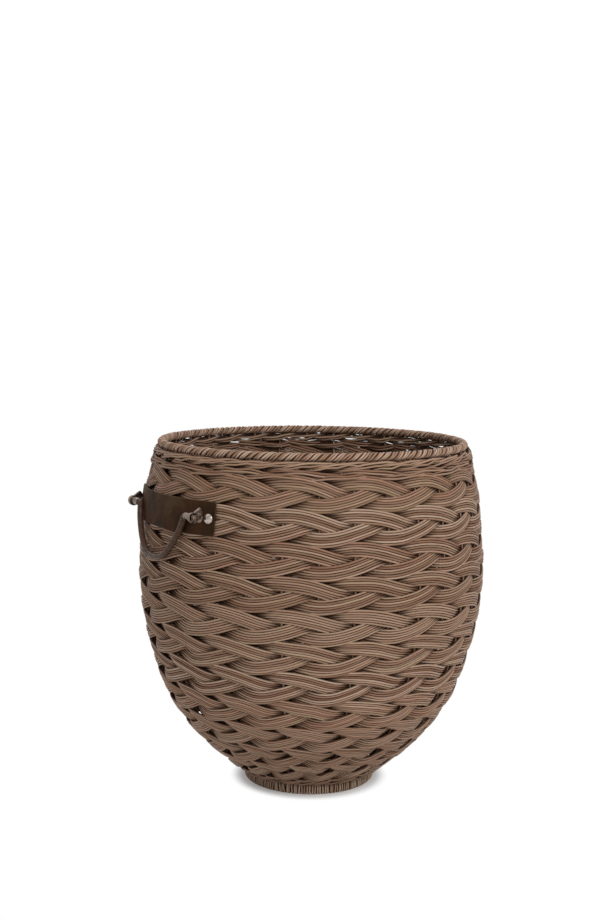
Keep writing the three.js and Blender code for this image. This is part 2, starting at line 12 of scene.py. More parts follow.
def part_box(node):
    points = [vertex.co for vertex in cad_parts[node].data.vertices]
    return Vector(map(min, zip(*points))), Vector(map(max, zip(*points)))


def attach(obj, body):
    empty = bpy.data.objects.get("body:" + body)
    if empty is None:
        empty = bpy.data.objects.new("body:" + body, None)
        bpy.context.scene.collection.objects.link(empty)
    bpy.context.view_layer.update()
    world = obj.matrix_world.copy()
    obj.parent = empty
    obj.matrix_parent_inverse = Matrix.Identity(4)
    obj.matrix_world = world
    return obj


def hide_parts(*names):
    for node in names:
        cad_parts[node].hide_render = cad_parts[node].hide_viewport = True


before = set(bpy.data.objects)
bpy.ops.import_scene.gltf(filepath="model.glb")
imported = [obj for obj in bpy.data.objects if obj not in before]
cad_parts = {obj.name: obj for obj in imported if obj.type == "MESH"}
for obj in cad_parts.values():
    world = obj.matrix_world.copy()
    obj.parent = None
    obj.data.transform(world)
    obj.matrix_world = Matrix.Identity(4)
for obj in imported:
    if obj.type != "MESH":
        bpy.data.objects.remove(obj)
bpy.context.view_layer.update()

# %% [markdown]
# The camera comes first, because everything else is judged through it. Its place was worked out from the
# photograph: how far the ellipses of mouth and foot open gives its height, and how they differ gives its
# distance. Blender's camera looks along its own -Z, so its rotation matrix is made from three directions:
# right, up and back. The small roll tilts the picture by less than a degree.

# %% Camera
MM = 0.001
CAMERA_TURN = np.radians(31.6)
CAMERA_DISTANCE = 1779 * MM
CAMERA_SIDESTEP = -7.65 * MM
CAMERA_HEIGHT = 617 * MM
CAMERA_PITCH = np.radians(6.25)
CAMERA_ROLL = np.radians(0.65)
CAMERA_LENS_MM = 53.57


def add_camera():
    """Right, forward and up are turned about Z, pitched about right, then rolled about forward."""
    level_forward = np.array([np.sin(CAMERA_TURN), np.cos(CAMERA_TURN), 0])
    level_right = np.array([np.cos(CAMERA_TURN), -np.sin(CAMERA_TURN), 0])
    sky = np.array([0, 0, 1])
    forward = np.cos(CAMERA_PITCH) * level_forward - np.sin(CAMERA_PITCH) * sky
    level_up = np.sin(CAMERA_PITCH) * level_forward + np.cos(CAMERA_PITCH) * sky
    right = np.cos(CAMERA_ROLL) * level_right + np.sin(CAMERA_ROLL) * level_up
    up = np.cos(CAMERA_ROLL) * level_up - np.sin(CAMERA_ROLL) * level_right
    place = CAMERA_SIDESTEP * level_right - CAMERA_DISTANCE * level_forward + CAMERA_HEIGHT * sky
    turned = Matrix(np.column_stack([right, up, -forward]).tolist()).to_4x4()
    camera = bpy.data.objects.new("camera", bpy.data.cameras.new("camera"))
    camera.data.lens = CAMERA_LENS_MM
    camera.matrix_world = Matrix.Translation(Vector(place)) @ turned
    bpy.context.scene.collection.objects.link(camera)
    bpy.context.scene.camera = camera
    print("camera at", np.round(place, 3))


add_camera()

# %% [markdown]
# Materials are written as arithmetic. A Wire holds one output socket of a node tree, and adding or
# multiplying two Wires adds a Math node, so a pattern reads like its formula. The reflected forms, such as
# __rsub__, make 1 - mask work as well. Every other node comes from one method, which sets a node's
# settings first and its sockets after.

# %% Shader helpers
class Wire:
    """One output socket, with arithmetic that adds Math nodes."""

    def __init__(self, tree, socket):
        self.tree = tree
        self.socket = socket

    def _math(self, operation, first, second=0.0):
        return self.tree.node("ShaderNodeMath", {"operation": operation}, {0: first, 1: second})

    def cosine(self):
        return self._math("COSINE", self)

    def __add__(self, other):
        return self._math("ADD", self, other)

    def __radd__(self, other):
        return self._math("ADD", other, self)

    def __sub__(self, other):
        return self._math("SUBTRACT", self, other)

    def __rsub__(self, other):
        return self._math("SUBTRACT", other, self)

    def __mul__(self, other):
        return self._math("MULTIPLY", self, other)

    def __rmul__(self, other):
        return self._math("MULTIPLY", other, self)

    def smooth(self, low, high):
        """Goes from 0 at low to 1 at high, with soft ends."""
        settings = {"interpolation_type": "SMOOTHSTEP"}
        return self.tree.node(
            "ShaderNodeMapRange", settings, {"Value": self, "From Min": low, "From Max": high}
        )


class Tree:
    """A material's node tree with its Principled shader."""

    def __init__(self, name, **constants):
        self.material = bpy.data.materials.new(name)
        self.material.use_nodes = True
        self.nodes = self.material.node_tree.nodes
        self.links = self.material.node_tree.links
        self.shader = self.nodes["Principled BSDF"]
        self.set(**constants)

    def node(self, kind, settings=None, sockets=None, output=0):
        """Adds a node: its settings, then the values or links of its sockets, and gives one output."""
        made = self.nodes.new(kind)
        for key, value in (settings or {}).items():
            if key == "stops":
                self._stops(made.color_ramp, value)
            else:
                setattr(made, key, value)
        for key, value in (sockets or {}).items():
            if isinstance(value, Wire):
                self.links.new(value.socket, made.inputs[key])
            else:
                made.inputs[key].default_value = value
        return Wire(self, made.outputs[output])

    def _stops(self, ramp, stops):
        while len(ramp.elements) < len(stops):
            ramp.elements.new(1.0)
        for element, (position, colour) in zip(ramp.elements, stops):
            element.position = position
            element.color = (*colour, 1.0)

    def set(self, **values):
        """Sets or links the Principled shader's sockets: base_color is Base Color, and so on."""
        for key, value in values.items():
            socket = self.shader.inputs[key.replace("_", " ").title().replace("Ior", "IOR")]
            if isinstance(value, Wire):
                self.links.new(value.socket, socket)
            else:
                socket.default_value = value

    def bump(self, height, distance, strength=1.0):
        """Lets the surface's normal follow a height pattern."""
        sockets = {"Height": height, "Distance": distance, "Strength": strength}
        self.set(normal=self.node("ShaderNodeBump", None, sockets))

    def noise(self, vector, scale, detail=2.0, roughness=0.5):
        """Soft random values round 0.5, scale cells in each unit of the vector."""
        sockets = {"Vector": vector, "Scale": scale, "Detail": detail, "Roughness": roughness}
        return self.node("ShaderNodeTexNoise", None, sockets)

    def stretch(self, vector, scale):
        """Multiplies a vector by three factors, so that a pattern is drawn out along the smallest."""
        return self.node("ShaderNodeMapping", None, {"Vector": vector, "Scale": scale})

    def blend(self, factor, first, second, mode="MIX"):
        """The first colour where the factor is 0, and the second where it is 1."""
        settings = {"data_type": "RGBA", "blend_type": mode}
        # a Mix node keeps its colour sockets at 6 and 7, and its colour output at 2
        return self.node("ShaderNodeMix", settings, {0: factor, 6: first, 7: second}, output=2)

    def tint(self, factor, stops):
        """Turns a value into the colour that the stops give for it."""
        return self.node("ShaderNodeValToRGB", {"stops": stops}, {"Fac": factor})


def srgb(red, green, blue):
    """A colour of 0 to 255 as the linear numbers that shaders take."""
    share = np.array([red, green, blue]) / 255
    linear = np.where(share <= 0.04045, share / 12.92, ((share + 0.055) / 1.055) ** 2.4)
    return tuple(float(value) for value in linear)


def opaque(colour):
    """The colour with an alpha of 1, as colour sockets want it."""
    return (*colour, 1.0)


# %% [markdown]
# The rattan is stained grey brown, and no two rods took the stain alike: some are warmer, some greyer, and
# each one changes slowly along its length. Fine streaks run along the cane. Each rod's mesh carries a
# number, "rod", which picks its tone, and a UV map whose first coordinate is the distance along the rod and
# whose second goes round it, so streaks follow the rod wherever it bends. A third value, "depth", says how
# far behind the outermost strands a point lies, and so how much painted shade the colour gets: a rod is
# painted darker, and made duller, where it is hidden: its outer side where it lies deep, and its inner side
# where it lies in front. The sides of each rod, where it meets its neighbours, get painted shade too.

# %% Rattan
RATTAN_TONES = [
    (0.0, srgb(101, 76, 59)),
    (0.3, srgb(127, 101, 83)),
    (0.55, srgb(144, 117, 98)),
    (0.8, srgb(156, 132, 114)),
    (1.0, srgb(174, 153, 136)),
]
# what the stain did to the hue: redder on some rods, olive on others
RATTAN_HUES = [
    (0.0, (1.0, 0.86, 0.8)),
    (0.45, (1.0, 0.95, 0.93)),
    (1.0, (0.96, 0.99, 0.88)),
]
RATTAN_LIGHT = srgb(183, 159, 141)
# dark of the streaks and grain, and also of the painted shade on hidden sides
RATTAN_DARK_GRAIN_AND_SHADE = srgb(62, 36, 20)
# painted shade in the creases where a rod meets its neighbours
RATTAN_CREASE_SHADE = srgb(44, 22, 10)
STREAKS_ALONG = 9.0  # noise cells per metre along a rod
STREAKS_ROUND = 5.0  # and round it
GRAIN_ALONG = 60.0
GRAIN_ROUND = 14.0
RATTAN_SPECULAR = 0.12
ROD_SHIFTS = (37.0, 91.0, 53.0)  # move each rod's pattern to a place of its own


def rattan_material(name, tone_shift=0.0):
    """A tone from the rod's number and slow noise, under streaks, grain and painted shade on hidden sides and
    creases.
    """
    tree = Tree(name, specular_ior_level=RATTAN_SPECULAR)
    place = tree.node("ShaderNodeUVMap", {"uv_map": "rod_uv"})
    rod = tree.node("ShaderNodeAttribute", {"attribute_name": "rod"}, output=2)
    depth = tree.node("ShaderNodeAttribute", {"attribute_name": "depth"}, output=2)
    shifts = {axis: rod * shift for axis, shift in zip("XYZ", ROD_SHIFTS)}
    shifted = tree.node("ShaderNodeCombineXYZ", None, shifts)
    cell = tree.node("ShaderNodeVectorMath", {"operation": "ADD"}, {0: place, 1: shifted})
    slow = tree.noise(tree.stretch(cell, (STREAKS_ALONG, STREAKS_ROUND * 0.4, 1.0)), 1.0, 2.0)
    streaks = tree.noise(tree.stretch(cell, (STREAKS_ALONG, STREAKS_ROUND, 1.0)), 1.0, 4.0, 0.6)
    grain = tree.noise(tree.stretch(cell, (GRAIN_ALONG, GRAIN_ROUND, 1.0)), 1.0, 3.0, 0.65)
    patches = tree.noise(shifted, 9.0, 1.0) * 2.4 - 1.2 + (slow - 0.5) * 1.6
    tone = rod * 0.7 + slow * 0.7 - 0.2 + tone_shift
    colour = tree.tint(tone, RATTAN_TONES)
    colour = tree.blend(1.0, colour, tree.tint(patches + 0.5, RATTAN_HUES), "MULTIPLY")
    colour = tree.blend(streaks.smooth(0.52, 0.8) * 0.6, colour, opaque(RATTAN_LIGHT))
    colour = tree.blend(streaks.smooth(0.46, 0.2) * 0.5, colour, opaque(RATTAN_DARK_GRAIN_AND_SHADE))
    colour = tree.blend(grain.smooth(0.45, 0.25) * 0.35, colour, opaque(RATTAN_DARK_GRAIN_AND_SHADE))
    round_rod = tree.node("ShaderNodeSeparateXYZ", None, {"Vector": place}, output=1)
    facing = (round_rod * (2 * np.pi)).cosine()
    hidden = depth + facing.smooth(0.2, -0.2) * (0.7 - depth * 1.7)
    # painted shade: a hidden side of a rod is blended towards dark
    colour = tree.blend(hidden.smooth(0.34, 0.94) * 0.78, colour, opaque(RATTAN_DARK_GRAIN_AND_SHADE))
    # painted shade on the sides of each rod, away from its outer and inner faces
    colour = tree.blend((facing * facing).smooth(0.84, 0.13) * 0.8, colour, opaque(RATTAN_CREASE_SHADE))
    tree.set(base_color=colour, roughness=0.46 + grain * 0.22 + hidden * 0.15)
    tree.bump(streaks * 0.6 + grain * 0.4, 0.12 * MM, 0.7)
    return tree.material


rattan = rattan_material("rattan")
stake_cane = rattan_material("stake_cane", tone_shift=0.12)
print("materials:", rattan.name, "and", stake_cane.name)

# %% [markdown]
# The wall's outer face is one curve of radius and height, carried round the Z axis. The curve goes smoothly
# through a few points from the foot to the mouth (a Catmull-Rom spline: between two points, each end's
# direction runs parallel to the line between its two neighbours). A dense table of the curve against the
# distance along it lets every woven piece be placed by three numbers: an angle, a distance along the wall,
# and a depth below the outer face.

# %% The wall
BELLY_RADIUS = 225 * MM
BELLY_HEIGHT = 285 * MM
MOUTH_RADIUS = 202.5 * MM
WALL_TOP = 442 * MM
FOOT_RADIUS = 86 * MM
FOOT_HEIGHT = 14.5 * MM
WALL_START = np.array([90.5 * MM, 14.8 * MM])
LOWER_HEIGHT_SHARES = [0.19, 0.386, 0.585, 0.784]
LOWER_RADIUS_SHARES = [0.419, 0.706, 0.862, 0.959]
UPPER_HEIGHT_SHARES = [0.312, 0.657]
UPPER_RADIUS_SHARES = [0.12, 0.369]
TABLE_STEPS = 4000


def unit(vectors):
    """The same directions with a length of 1."""
    return vectors / np.linalg.norm(vectors, axis=-1, keepdims=True)


def full_turn(count):
    """Angles evenly spaced over one whole turn."""
    return np.linspace(0, 2 * np.pi, count, endpoint=False)


def round_z(radius, angle, height):
    """Points at a radius and an angle round the Z axis: (r cos a, r sin a, height)."""
    return np.stack([radius * np.cos(angle), radius * np.sin(angle), height], axis=-1)


def catmull_rom(padded, power, steps):
    """Curve through all points but the padding first and last. On each span it is the cubic whose
    directions at both ends are blended from the spans on either side, weighted by span length ** power."""
    gaps = np.maximum(np.linalg.norm(np.diff(padded, axis=0), axis=1) ** power, 1e-9)
    run = np.linspace(0, len(padded) - 3, steps)
    span = np.minimum(run.astype(int), len(padded) - 4)
    t = (run - span)[:, None]
    before, first, second, after = (padded[span + i] for i in range(4))
    gap_before, gap, gap_after = (gaps[span + i][:, None] for i in range(3))
    chord = (second - first) / gap
    leave = chord + (first - before) / gap_before - (second - before) / (gap_before + gap)
    arrive = chord + (after - second) / gap_after - (after - first) / (gap + gap_after)
    leave, arrive = leave * gap, arrive * gap
    curve = first + t * leave + t**2 * (3 * (second - first) - 2 * leave - arrive)
    return curve + t**3 * (2 * (first - second) + leave + arrive)


def wall_table():
    """Distances along the wall, and the wall's points and directions there."""
    belly = np.array([BELLY_RADIUS, BELLY_HEIGHT])
    end = np.array([MOUTH_RADIUS, WALL_TOP])
    lower = np.column_stack([LOWER_RADIUS_SHARES, LOWER_HEIGHT_SHARES])
    upper = np.column_stack([UPPER_RADIUS_SHARES, UPPER_HEIGHT_SHARES])
    points = np.vstack([
        WALL_START,
        WALL_START + (belly - WALL_START) * lower,
        belly,
        belly + (end - belly) * upper,
        end,
    ])
    curve = catmull_rom(np.vstack([points[:1], points, points[-1:]]), 0, TABLE_STEPS)
    arc = np.concatenate([[0], np.cumsum(np.linalg.norm(np.diff(curve, axis=0), axis=1))])
    return arc, curve, unit(np.gradient(curve, arc, axis=0))


ARC, WALL_CURVE, WALL_TANGENT = wall_table()
WALL_LENGTH = ARC[-1]
print("wall length %.1f mm" % (WALL_LENGTH / MM))


def along_wall(arc):
    """Radius, height and the curve's direction at distances along the wall, straight on past its ends."""
    inside = np.clip(arc, 0, WALL_LENGTH)
    direction = [np.interp(inside, ARC, WALL_TANGENT[:, i]) for i in range(2)]
    place = [np.interp(inside, ARC, WALL_CURVE[:, i]) for i in range(2)]
    beyond = arc - inside
    return place[0] + beyond * direction[0], place[1] + beyond * direction[1], *direction


def on_wall(angle, arc, depth):
    """Points at an angle round the basket, a distance along the wall and a depth below its face."""
    radius, height, tangent_r, tangent_z = along_wall(arc)
    radius = radius - depth * tangent_z
    return round_z(radius, angle, height + depth * tangent_r)


def wall_outward(angle, arc):
    """The wall's outward normal at the same places."""
    _, _, tangent_r, tangent_z = along_wall(arc)
    return round_z(tangent_z, angle, -tangent_r)


# %% [markdown]
# Rods are tubes: a circle carried along a path. The path's direction comes from the difference between
# neighbouring points, and the circle stands square to it. All the rods of a piece have the same number of
# points, so one array of shape (rods, points along, points round, 3) holds the whole piece, and its faces
# are the same grid pattern repeated. Open rods get a small cap at each end.

# %% Rod meshes
def rod_grid(paths, outward, radii, sides, closed):
    """Circle of radius r square to the path: centre + r (cos a * side + sin a * other side)."""
    if closed:
        forward = np.roll(paths, -1, axis=1) - np.roll(paths, 1, axis=1)
    else:
        forward = np.gradient(paths, axis=1)
    forward = unit(forward)
    side = unit(outward - (outward * forward).sum(-1, keepdims=True) * forward)
    other = np.cross(forward, side)
    turn = np.arange(sides) * 2 * np.pi / sides
    ring = np.cos(turn)[:, None] * side[:, :, None, :] + np.sin(turn)[:, None] * other[:, :, None, :]
    return paths[:, :, None, :] + np.asarray(radii)[..., None, None] * ring


def grid_faces(count, length, sides, closed):
    """Corner numbers of every quad, and each corner's step along and round, for all the grids."""
    spans = length if closed else length - 1
    i, j = np.meshgrid(np.arange(spans), np.arange(sides), indexing="ij")
    step_i = np.stack([i, i, i + 1, i + 1], axis=-1).reshape(-1, 4)
    step_j = np.stack([j, j + 1, j + 1, j], axis=-1).reshape(-1, 4)
    corner = (step_i % length) * sides + step_j % sides
    offset = np.arange(count)[:, None, None] * length * sides
    return corner[None] + offset, step_i, step_j


def finish_mesh(name, vertices, quads, uv, caps, values, material):
    """Puts arrays into a mesh: quads first, then any cap polygons, with smooth shading."""
    mesh = bpy.data.meshes.new(name)
    quads = quads.reshape(-1, 4)
    corners = np.concatenate([quads.ravel(), caps.ravel()])
    sizes = np.concatenate([np.full(len(quads), 4), np.full(len(caps), caps.shape[1])])
    mesh.vertices.add(len(vertices))
    mesh.vertices.foreach_set("co", vertices.astype(np.float32).ravel())
    mesh.loops.add(len(corners))
    mesh.loops.foreach_set("vertex_index", corners.astype(np.int32))
    mesh.polygons.add(len(sizes))
    starts = np.concatenate([[0], np.cumsum(sizes)[:-1]])
    mesh.polygons.foreach_set("loop_start", starts.astype(np.int32))
    mesh.polygons.foreach_set("use_smooth", np.ones(len(sizes), bool))
    layer = mesh.uv_layers.new(name="rod_uv")
    filled = np.zeros((len(corners), 2), np.float32)
    filled[: len(uv)] = uv
    layer.data.foreach_set("uv", filled.ravel())
    for key, value in values.items():
        attribute = mesh.attributes.new(key, "FLOAT", "POINT")
        attribute.data.foreach_set("value", value.astype(np.float32).ravel())
    mesh.update(calc_edges=True)
    mesh.validate()
    mesh.materials.append(material)
    piece = bpy.data.objects.new(name, mesh)
    bpy.context.scene.collection.objects.link(piece)
    return piece


def rods(name, paths, outward, radii, sides, closed, tones, depth, material):
    """Makes one mesh of many rods. tones has a number for each rod. radii, and depth, the share of painted
    shade, have one for each path point, or one for all."""
    grid = rod_grid(paths, outward, radii, sides, closed)
    count, length = paths.shape[:2]
    quads, step_i, step_j = grid_faces(count, length, sides, closed)
    steps = np.linalg.norm(np.diff(paths, axis=1, append=paths[:, :1]), axis=-1)
    along = np.concatenate([np.zeros((count, 1)), np.cumsum(steps, axis=1)], axis=1)
    uv = np.stack([along[:, step_i], np.broadcast_to(step_j / sides, along[:, step_i].shape)], axis=-1)
    caps = np.zeros((0, 4), int)
    if not closed:
        first = np.arange(sides)[::-1][None] + np.arange(count)[:, None] * length * sides
        last = np.arange(sides)[None] + (np.arange(count)[:, None] * length + length - 1) * sides
        caps = np.concatenate([first, last])
    shape = (count, length, sides)
    values = {
        "rod": np.broadcast_to(np.asarray(tones)[:, None, None], shape),
        "depth": np.broadcast_to(np.broadcast_to(depth, shape[:2])[:, :, None], shape),
    }
    piece = finish_mesh(name, grid.reshape(-1, 3), quads, uv.reshape(-1, 2), caps, values, material)
    print("%s: %d rods, %d triangles" % (name, count, 2 * quads.size // 4))
    return piece


def dress(piece, body, node):
    """Attaches a piece to the body that it moves with, and hides the CAD node that it stands for."""
    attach(piece, body)
    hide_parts(node)


# %% [markdown]
# Each course is a braid of three strands woven round 32 stakes. A strand is a flat band of rods that runs
# in front of two stakes, dips behind the third, and sways up and down as it goes: a cosine with a period of
# six stakes. Because 32 stakes aren't a whole number of such periods, the three strands are really one band
# that goes round the basket three times before it meets its start, so each rod is a single closed curve.
# Three things make it look woven and not drawn: the depth of the band follows the stakes, each rod dives or
# comes up a little before or after its neighbours, and every rod wavers by a fraction of a millimetre.

# %% Courses
STAKE_COUNT = 32
STAKE_PHASE = np.radians(4.35)
STAKE_STEP = 2 * np.pi / STAKE_COUNT
STAKE_DEPTH = 5.7 * MM
STAKE_RADIUS = 1.5 * MM
COURSE_COUNT = 11
FOOT_WALE_WIDTH = 17.8 * MM
TOP_WALE_WIDTH = 10.7 * MM
COURSE_PITCH = (WALL_LENGTH - FOOT_WALE_WIDTH - 2 * TOP_WALE_WIDTH) / COURSE_COUNT
TURNS = 3  # turns round the basket before a strand meets its start
WEAVE_PERIOD = 3  # stakes from one dip behind to the next
BRAID_PERIOD = 6  # stakes in one sway up and down
BRAID_CREST = 1.0  # stakes from the dip behind to the top of the sway
# how far out of the stakes' plane a strand lies at every half stake, from the one that it dips behind
WEAVE_OFFSETS = np.array([-3.7, -1.5, 3.3, 4.4, 3.8, 1.5]) * MM
ROD_RADIUS = 1.56 * MM
ROD_SPACING = 3.0 * MM
ROD_SIDES = 8
THIN_SIDES = 6  # sides of the base's and the foot's finer rods
STEPS_PER_STAKE = 6
STAGGER = 0.16  # stakes by which the outer rods of a band lead or lag in the dive
SPREAD = 0.22  # share by which a band is wider behind the stakes than in front
FLATTEN = 0.15  # share by which its rods look thicker there, pressed flat
SPREAD_EARLY = 0.3  # share of the dip's depth, in front of the stakes, at which a band starts to spread
BAND_ROUND = 0.35 * MM  # how much deeper a band's outer rods lie than its middle ones
ROD_UNEVEN = 0.05  # share by which rods differ in thickness
PAINTED_SHADE_FROM = 1.5 * MM  # depth at which the painted shade starts
PAINTED_SHADE_REACH = 8 * MM  # how much deeper it is darkest
# wavers: the fewest and most waves in a lap, and their size
WAVER_SINES = 5
BAND_WAVER = ((20, 90), 0.5 * MM)
ROD_WAVER = ((30, 160), 0.16 * MM)
DEPTH_WAVER = ((40, 200), 0.14 * MM)
rng = np.random.default_rng(11)


def weave_offset(k):
    """Offset out of the stakes' plane: the smooth wave through the half-stake values, by Fourier sum."""
    parts = np.fft.rfft(WEAVE_OFFSETS) / len(WEAVE_OFFSETS)
    parts[1:-1] *= 2
    orders = np.arange(len(parts))
    phase = 2j * np.pi * orders * np.asarray(k)[..., None] / WEAVE_PERIOD
    return (parts * np.exp(phase)).real.sum(-1)


def waver(count, turn, waves, size):
    """Closed random wobble of each rod: a sum of a few sines with random phases."""
    shape = (count, WAVER_SINES, 1)
    orders = rng.integers(waves[0], waves[1], shape)
    phases = rng.uniform(0, 2 * np.pi, shape)
    sizes = rng.normal(0, size / np.sqrt(WAVER_SINES), shape)
    return (sizes * np.sin(orders * turn[None, None] + phases)).sum(1)


def braid(
    name, centre, sway, count, period=BRAID_PERIOD, crest=BRAID_CREST,
    spacing=ROD_SPACING, radius=ROD_RADIUS, loose=1.0, full=0.0,
):
    """Band of rods on the wall. Its middle is at centre + sway cos(2 pi (k - crest) / period), k in
    stakes; each rod is set off square to the band; its depth is the stakes' depth less the weave's
    offset. In front the band bows out by full more; behind the stakes it is pressed flat, so it
    spreads. Loose is how much more than a braid's the rods waver."""
    length = TURNS * STAKE_COUNT * STEPS_PER_STAKE
    k = 1 + np.arange(length) / STEPS_PER_STAKE
    lap = (k - 1) / (TURNS * STAKE_COUNT) * 2 * np.pi
    swing = 2 * np.pi * (k - crest) / period
    pitch = along_wall(np.array(centre))[0] * STAKE_STEP
    middle = centre + sway * np.cos(swing) + waver(1, lap, *BAND_WAVER)[0]
    slope = -sway * 2 * np.pi / period / pitch * np.sin(swing)
    across = np.arange(count) - (count - 1) / 2
    share = across[:, None] / max(across.max(), 1)
    behind = np.clip(weave_offset(k) / WEAVE_OFFSETS.min() + SPREAD_EARLY, 0, 1)
    offset = across[:, None] * spacing * (1 + SPREAD * behind) + loose * waver(count, lap, *ROD_WAVER)
    stretch = np.sqrt(1 + slope**2)
    arc = middle + offset / stretch
    angle = STAKE_PHASE + (k - 1) * STAKE_STEP - offset * slope / stretch / along_wall(arc)[0]
    dive = k + STAGGER * share * np.cos(swing)
    woven = weave_offset(dive)
    out = woven + waver(count, lap, *DEPTH_WAVER) - BAND_ROUND * share**2
    depth = STAKE_DEPTH - out - full * np.clip(woven / WEAVE_OFFSETS.max(), 0, 1)
    radii = radius * (1 + rng.normal(0, ROD_UNEVEN, (count, 1))) * (1 + FLATTEN * behind)
    tones = rng.uniform(0, 1, count)
    # painted shade: the deeper a point lies behind the front strands, the darker its colour is made
    shade = np.clip((depth - PAINTED_SHADE_FROM) / PAINTED_SHADE_REACH, 0, 1)
    paths = on_wall(angle, arc, depth)
    return rods(name, paths, wall_outward(angle, arc), radii, ROD_SIDES, True, tones, shade, rattan)


# the low courses go round a smaller ring, where a braid swings a little further up and down
COURSE_SWAY = np.array([14.8, 14.8, 14.6, 14.4, 14.4, 14.1, 13.9, 13.9, 13.9, 13.9, 13.9]) * MM
COURSE_RISE = 23.2 * MM  # from a course's lower edge to the middle of its braid
COURSE_RODS = 6
# the low braids bow out most, and those that the handles lie on don't
COURSE_FULL = np.array([2.6, 2.6, 2.4, 2.0, 1.5, 1.2, 0.9, 0.5, 0, 0, 0]) * MM
for i in range(COURSE_COUNT):
    node = "course_%02d" % (i + 1)
    middle = FOOT_WALE_WIDTH + i * COURSE_PITCH + COURSE_RISE
    course = braid("woven_" + node, middle, COURSE_SWAY[i], COURSE_RODS, full=COURSE_FULL[i])
    dress(course, "basket", node)

# %% [markdown]
# Wales are narrow rows that lock the braid at both ends, two under the rim and two thin ones at the foot.
# Each strand is two rods that pass in front of two stakes and behind one. In the outermost row at either end
# it rises all the way across the front and drops behind: the sway has the weave's own period of three stakes,
# with its crest just before the strand dips behind. The row beside the braid sways as slowly as the braid.

# %% Wales
WALE_RODS = 2
RISING = 2.25  # stakes from the dip behind to the crest
WALE_LOOSE = 3.0
WALE_FULL = 2.2 * MM  # the top rows lie on the ends of the braids, so they bow out
FOOT_WALE_ROD = 1.3 * MM
FOOT_WALE_SPACING = 2.6 * MM
FOOT_WALE_FULL = 1.5 * MM
low_top_wale = WALL_LENGTH - 1.5 * TOP_WALE_WIDTH
# each row: its name, the middle of its band, its sway, its period and its crest
top_rows = [
    ("top_wale_2", low_top_wale + TOP_WALE_WIDTH, 2.6 * MM, WEAVE_PERIOD, RISING),
    ("top_wale_1", low_top_wale, 3.4 * MM, BRAID_PERIOD, BRAID_CREST),
]
for node, centre, sway, period, crest in top_rows:
    row = braid("woven_" + node, centre, sway, WALE_RODS, period, crest, loose=WALE_LOOSE, full=WALE_FULL)
    dress(row, "basket", node)
foot_rows = [
    ("woven_foot_wale_1", 5.6 * MM, 2.2 * MM, WEAVE_PERIOD, RISING),
    ("woven_foot_wale_2", 13.4 * MM, 3.6 * MM, BRAID_PERIOD, BRAID_CREST),
]
for name, centre, sway, period, crest in foot_rows:
    row = braid(
        name, centre, sway, WALE_RODS, period, crest, FOOT_WALE_SPACING, FOOT_WALE_ROD, full=FOOT_WALE_FULL
    )
    dress(row, "basket", "foot_wale")

# %% [markdown]
# The rim is a rolled border: the ends of the stakes' partners are laid over a core and wrapped round it.
# On a rope of radius r, a strand's angle round the core grows steadily with its angle round the basket, so
# it climbs to the right on the outer side. The strands go in pairs, and the gaps between two pairs are the
# small dark notches.

# %% Rim
RIM_RADIUS = 5.4 * MM
RIM_DEPTH = 5.2 * MM
RIM_RISE = 5.2 * MM  # of the rope's middle above the wall's top edge
RIM_STRANDS = 6
RIM_WRAPS = 44  # whole turns round the core in one lap
RIM_STEPS = 12  # points in one wrap
RIM_ROD = 1.6 * MM
RIM_WAVE = 0.5 * MM
RIM_HIGH = np.radians(-122)  # where the rim stands highest
RIM_PAIR = 0.78  # share of the even spacing at which the two strands of a pair lie
RIM_TURN_WAVER = ((20, 90), 0.14)  # of a strand's angle round the core
RIM_REACH_WAVER = ((20, 160), 0.2 * MM)
RIM_TONES = (0.35, 1.15)
# a little painted shade on the rim's strands
RIM_SHADE = 0.05
RIM_CORE = 2.9 * MM
RIM_CORE_TONE = 0.2
rim_lap = full_turn(RIM_WRAPS * RIM_STEPS)


def rim_rise(lap):
    """A hand-made rim is never quite level: it stands a little higher on one side."""
    return RIM_RISE + RIM_WAVE * (1 + np.cos(lap - RIM_HIGH))


def rope(name, strands, wraps, rod_radius, rope_radius, material):
    """Strand s is at angle a = 2 pi s / strands + wraps * lap round the core, drawn towards its partner:
    middle + r (cos a * outward + sin a * up)."""
    number = np.arange(strands)[:, None]
    start = (number + (0.5 - number % 2) * (1 - RIM_PAIR)) * 2 * np.pi / strands
    turn = start + wraps * rim_lap + waver(strands, rim_lap, *RIM_TURN_WAVER)
    reach = rope_radius - rod_radius + waver(strands, rim_lap, *RIM_REACH_WAVER)
    lap = np.broadcast_to(rim_lap, turn.shape)
    arc = WALL_LENGTH + rim_rise(lap) + reach * np.sin(turn)
    depth = RIM_DEPTH - reach * np.cos(turn)
    paths = on_wall(lap, arc, depth)
    middle = on_wall(lap, WALL_LENGTH + rim_rise(lap), np.full(lap.shape, RIM_DEPTH))
    tones = rng.uniform(*RIM_TONES, strands)
    return rods(name, paths, paths - middle, rod_radius, ROD_SIDES, True, tones, RIM_SHADE, material)


rim = rope("woven_rim", RIM_STRANDS, RIM_WRAPS, RIM_ROD, RIM_RADIUS, rattan)
zero = np.zeros((1, len(rim_lap)))
core_path = on_wall(rim_lap[None], zero + WALL_LENGTH + rim_rise(rim_lap), zero + RIM_DEPTH)
core_out = wall_outward(rim_lap[None], zero + WALL_LENGTH)
# the core gets full painted shade on its outer side, where the wraps hide it
core = rods("rim_core", core_path, core_out, RIM_CORE, ROD_SIDES, True, [RIM_CORE_TONE], 1.0, rattan)
for piece in (rim, core):
    dress(piece, "basket", "rim_border")

# %% [markdown]
# A basket begins with its base. Sixteen long rods, eight one way and eight across them, make the cross; then
# they spread into 32 spokes, bend up, and become the stakes of the wall. So one path runs from the rim down
# the wall, across the base through the cross, and up the opposite side.

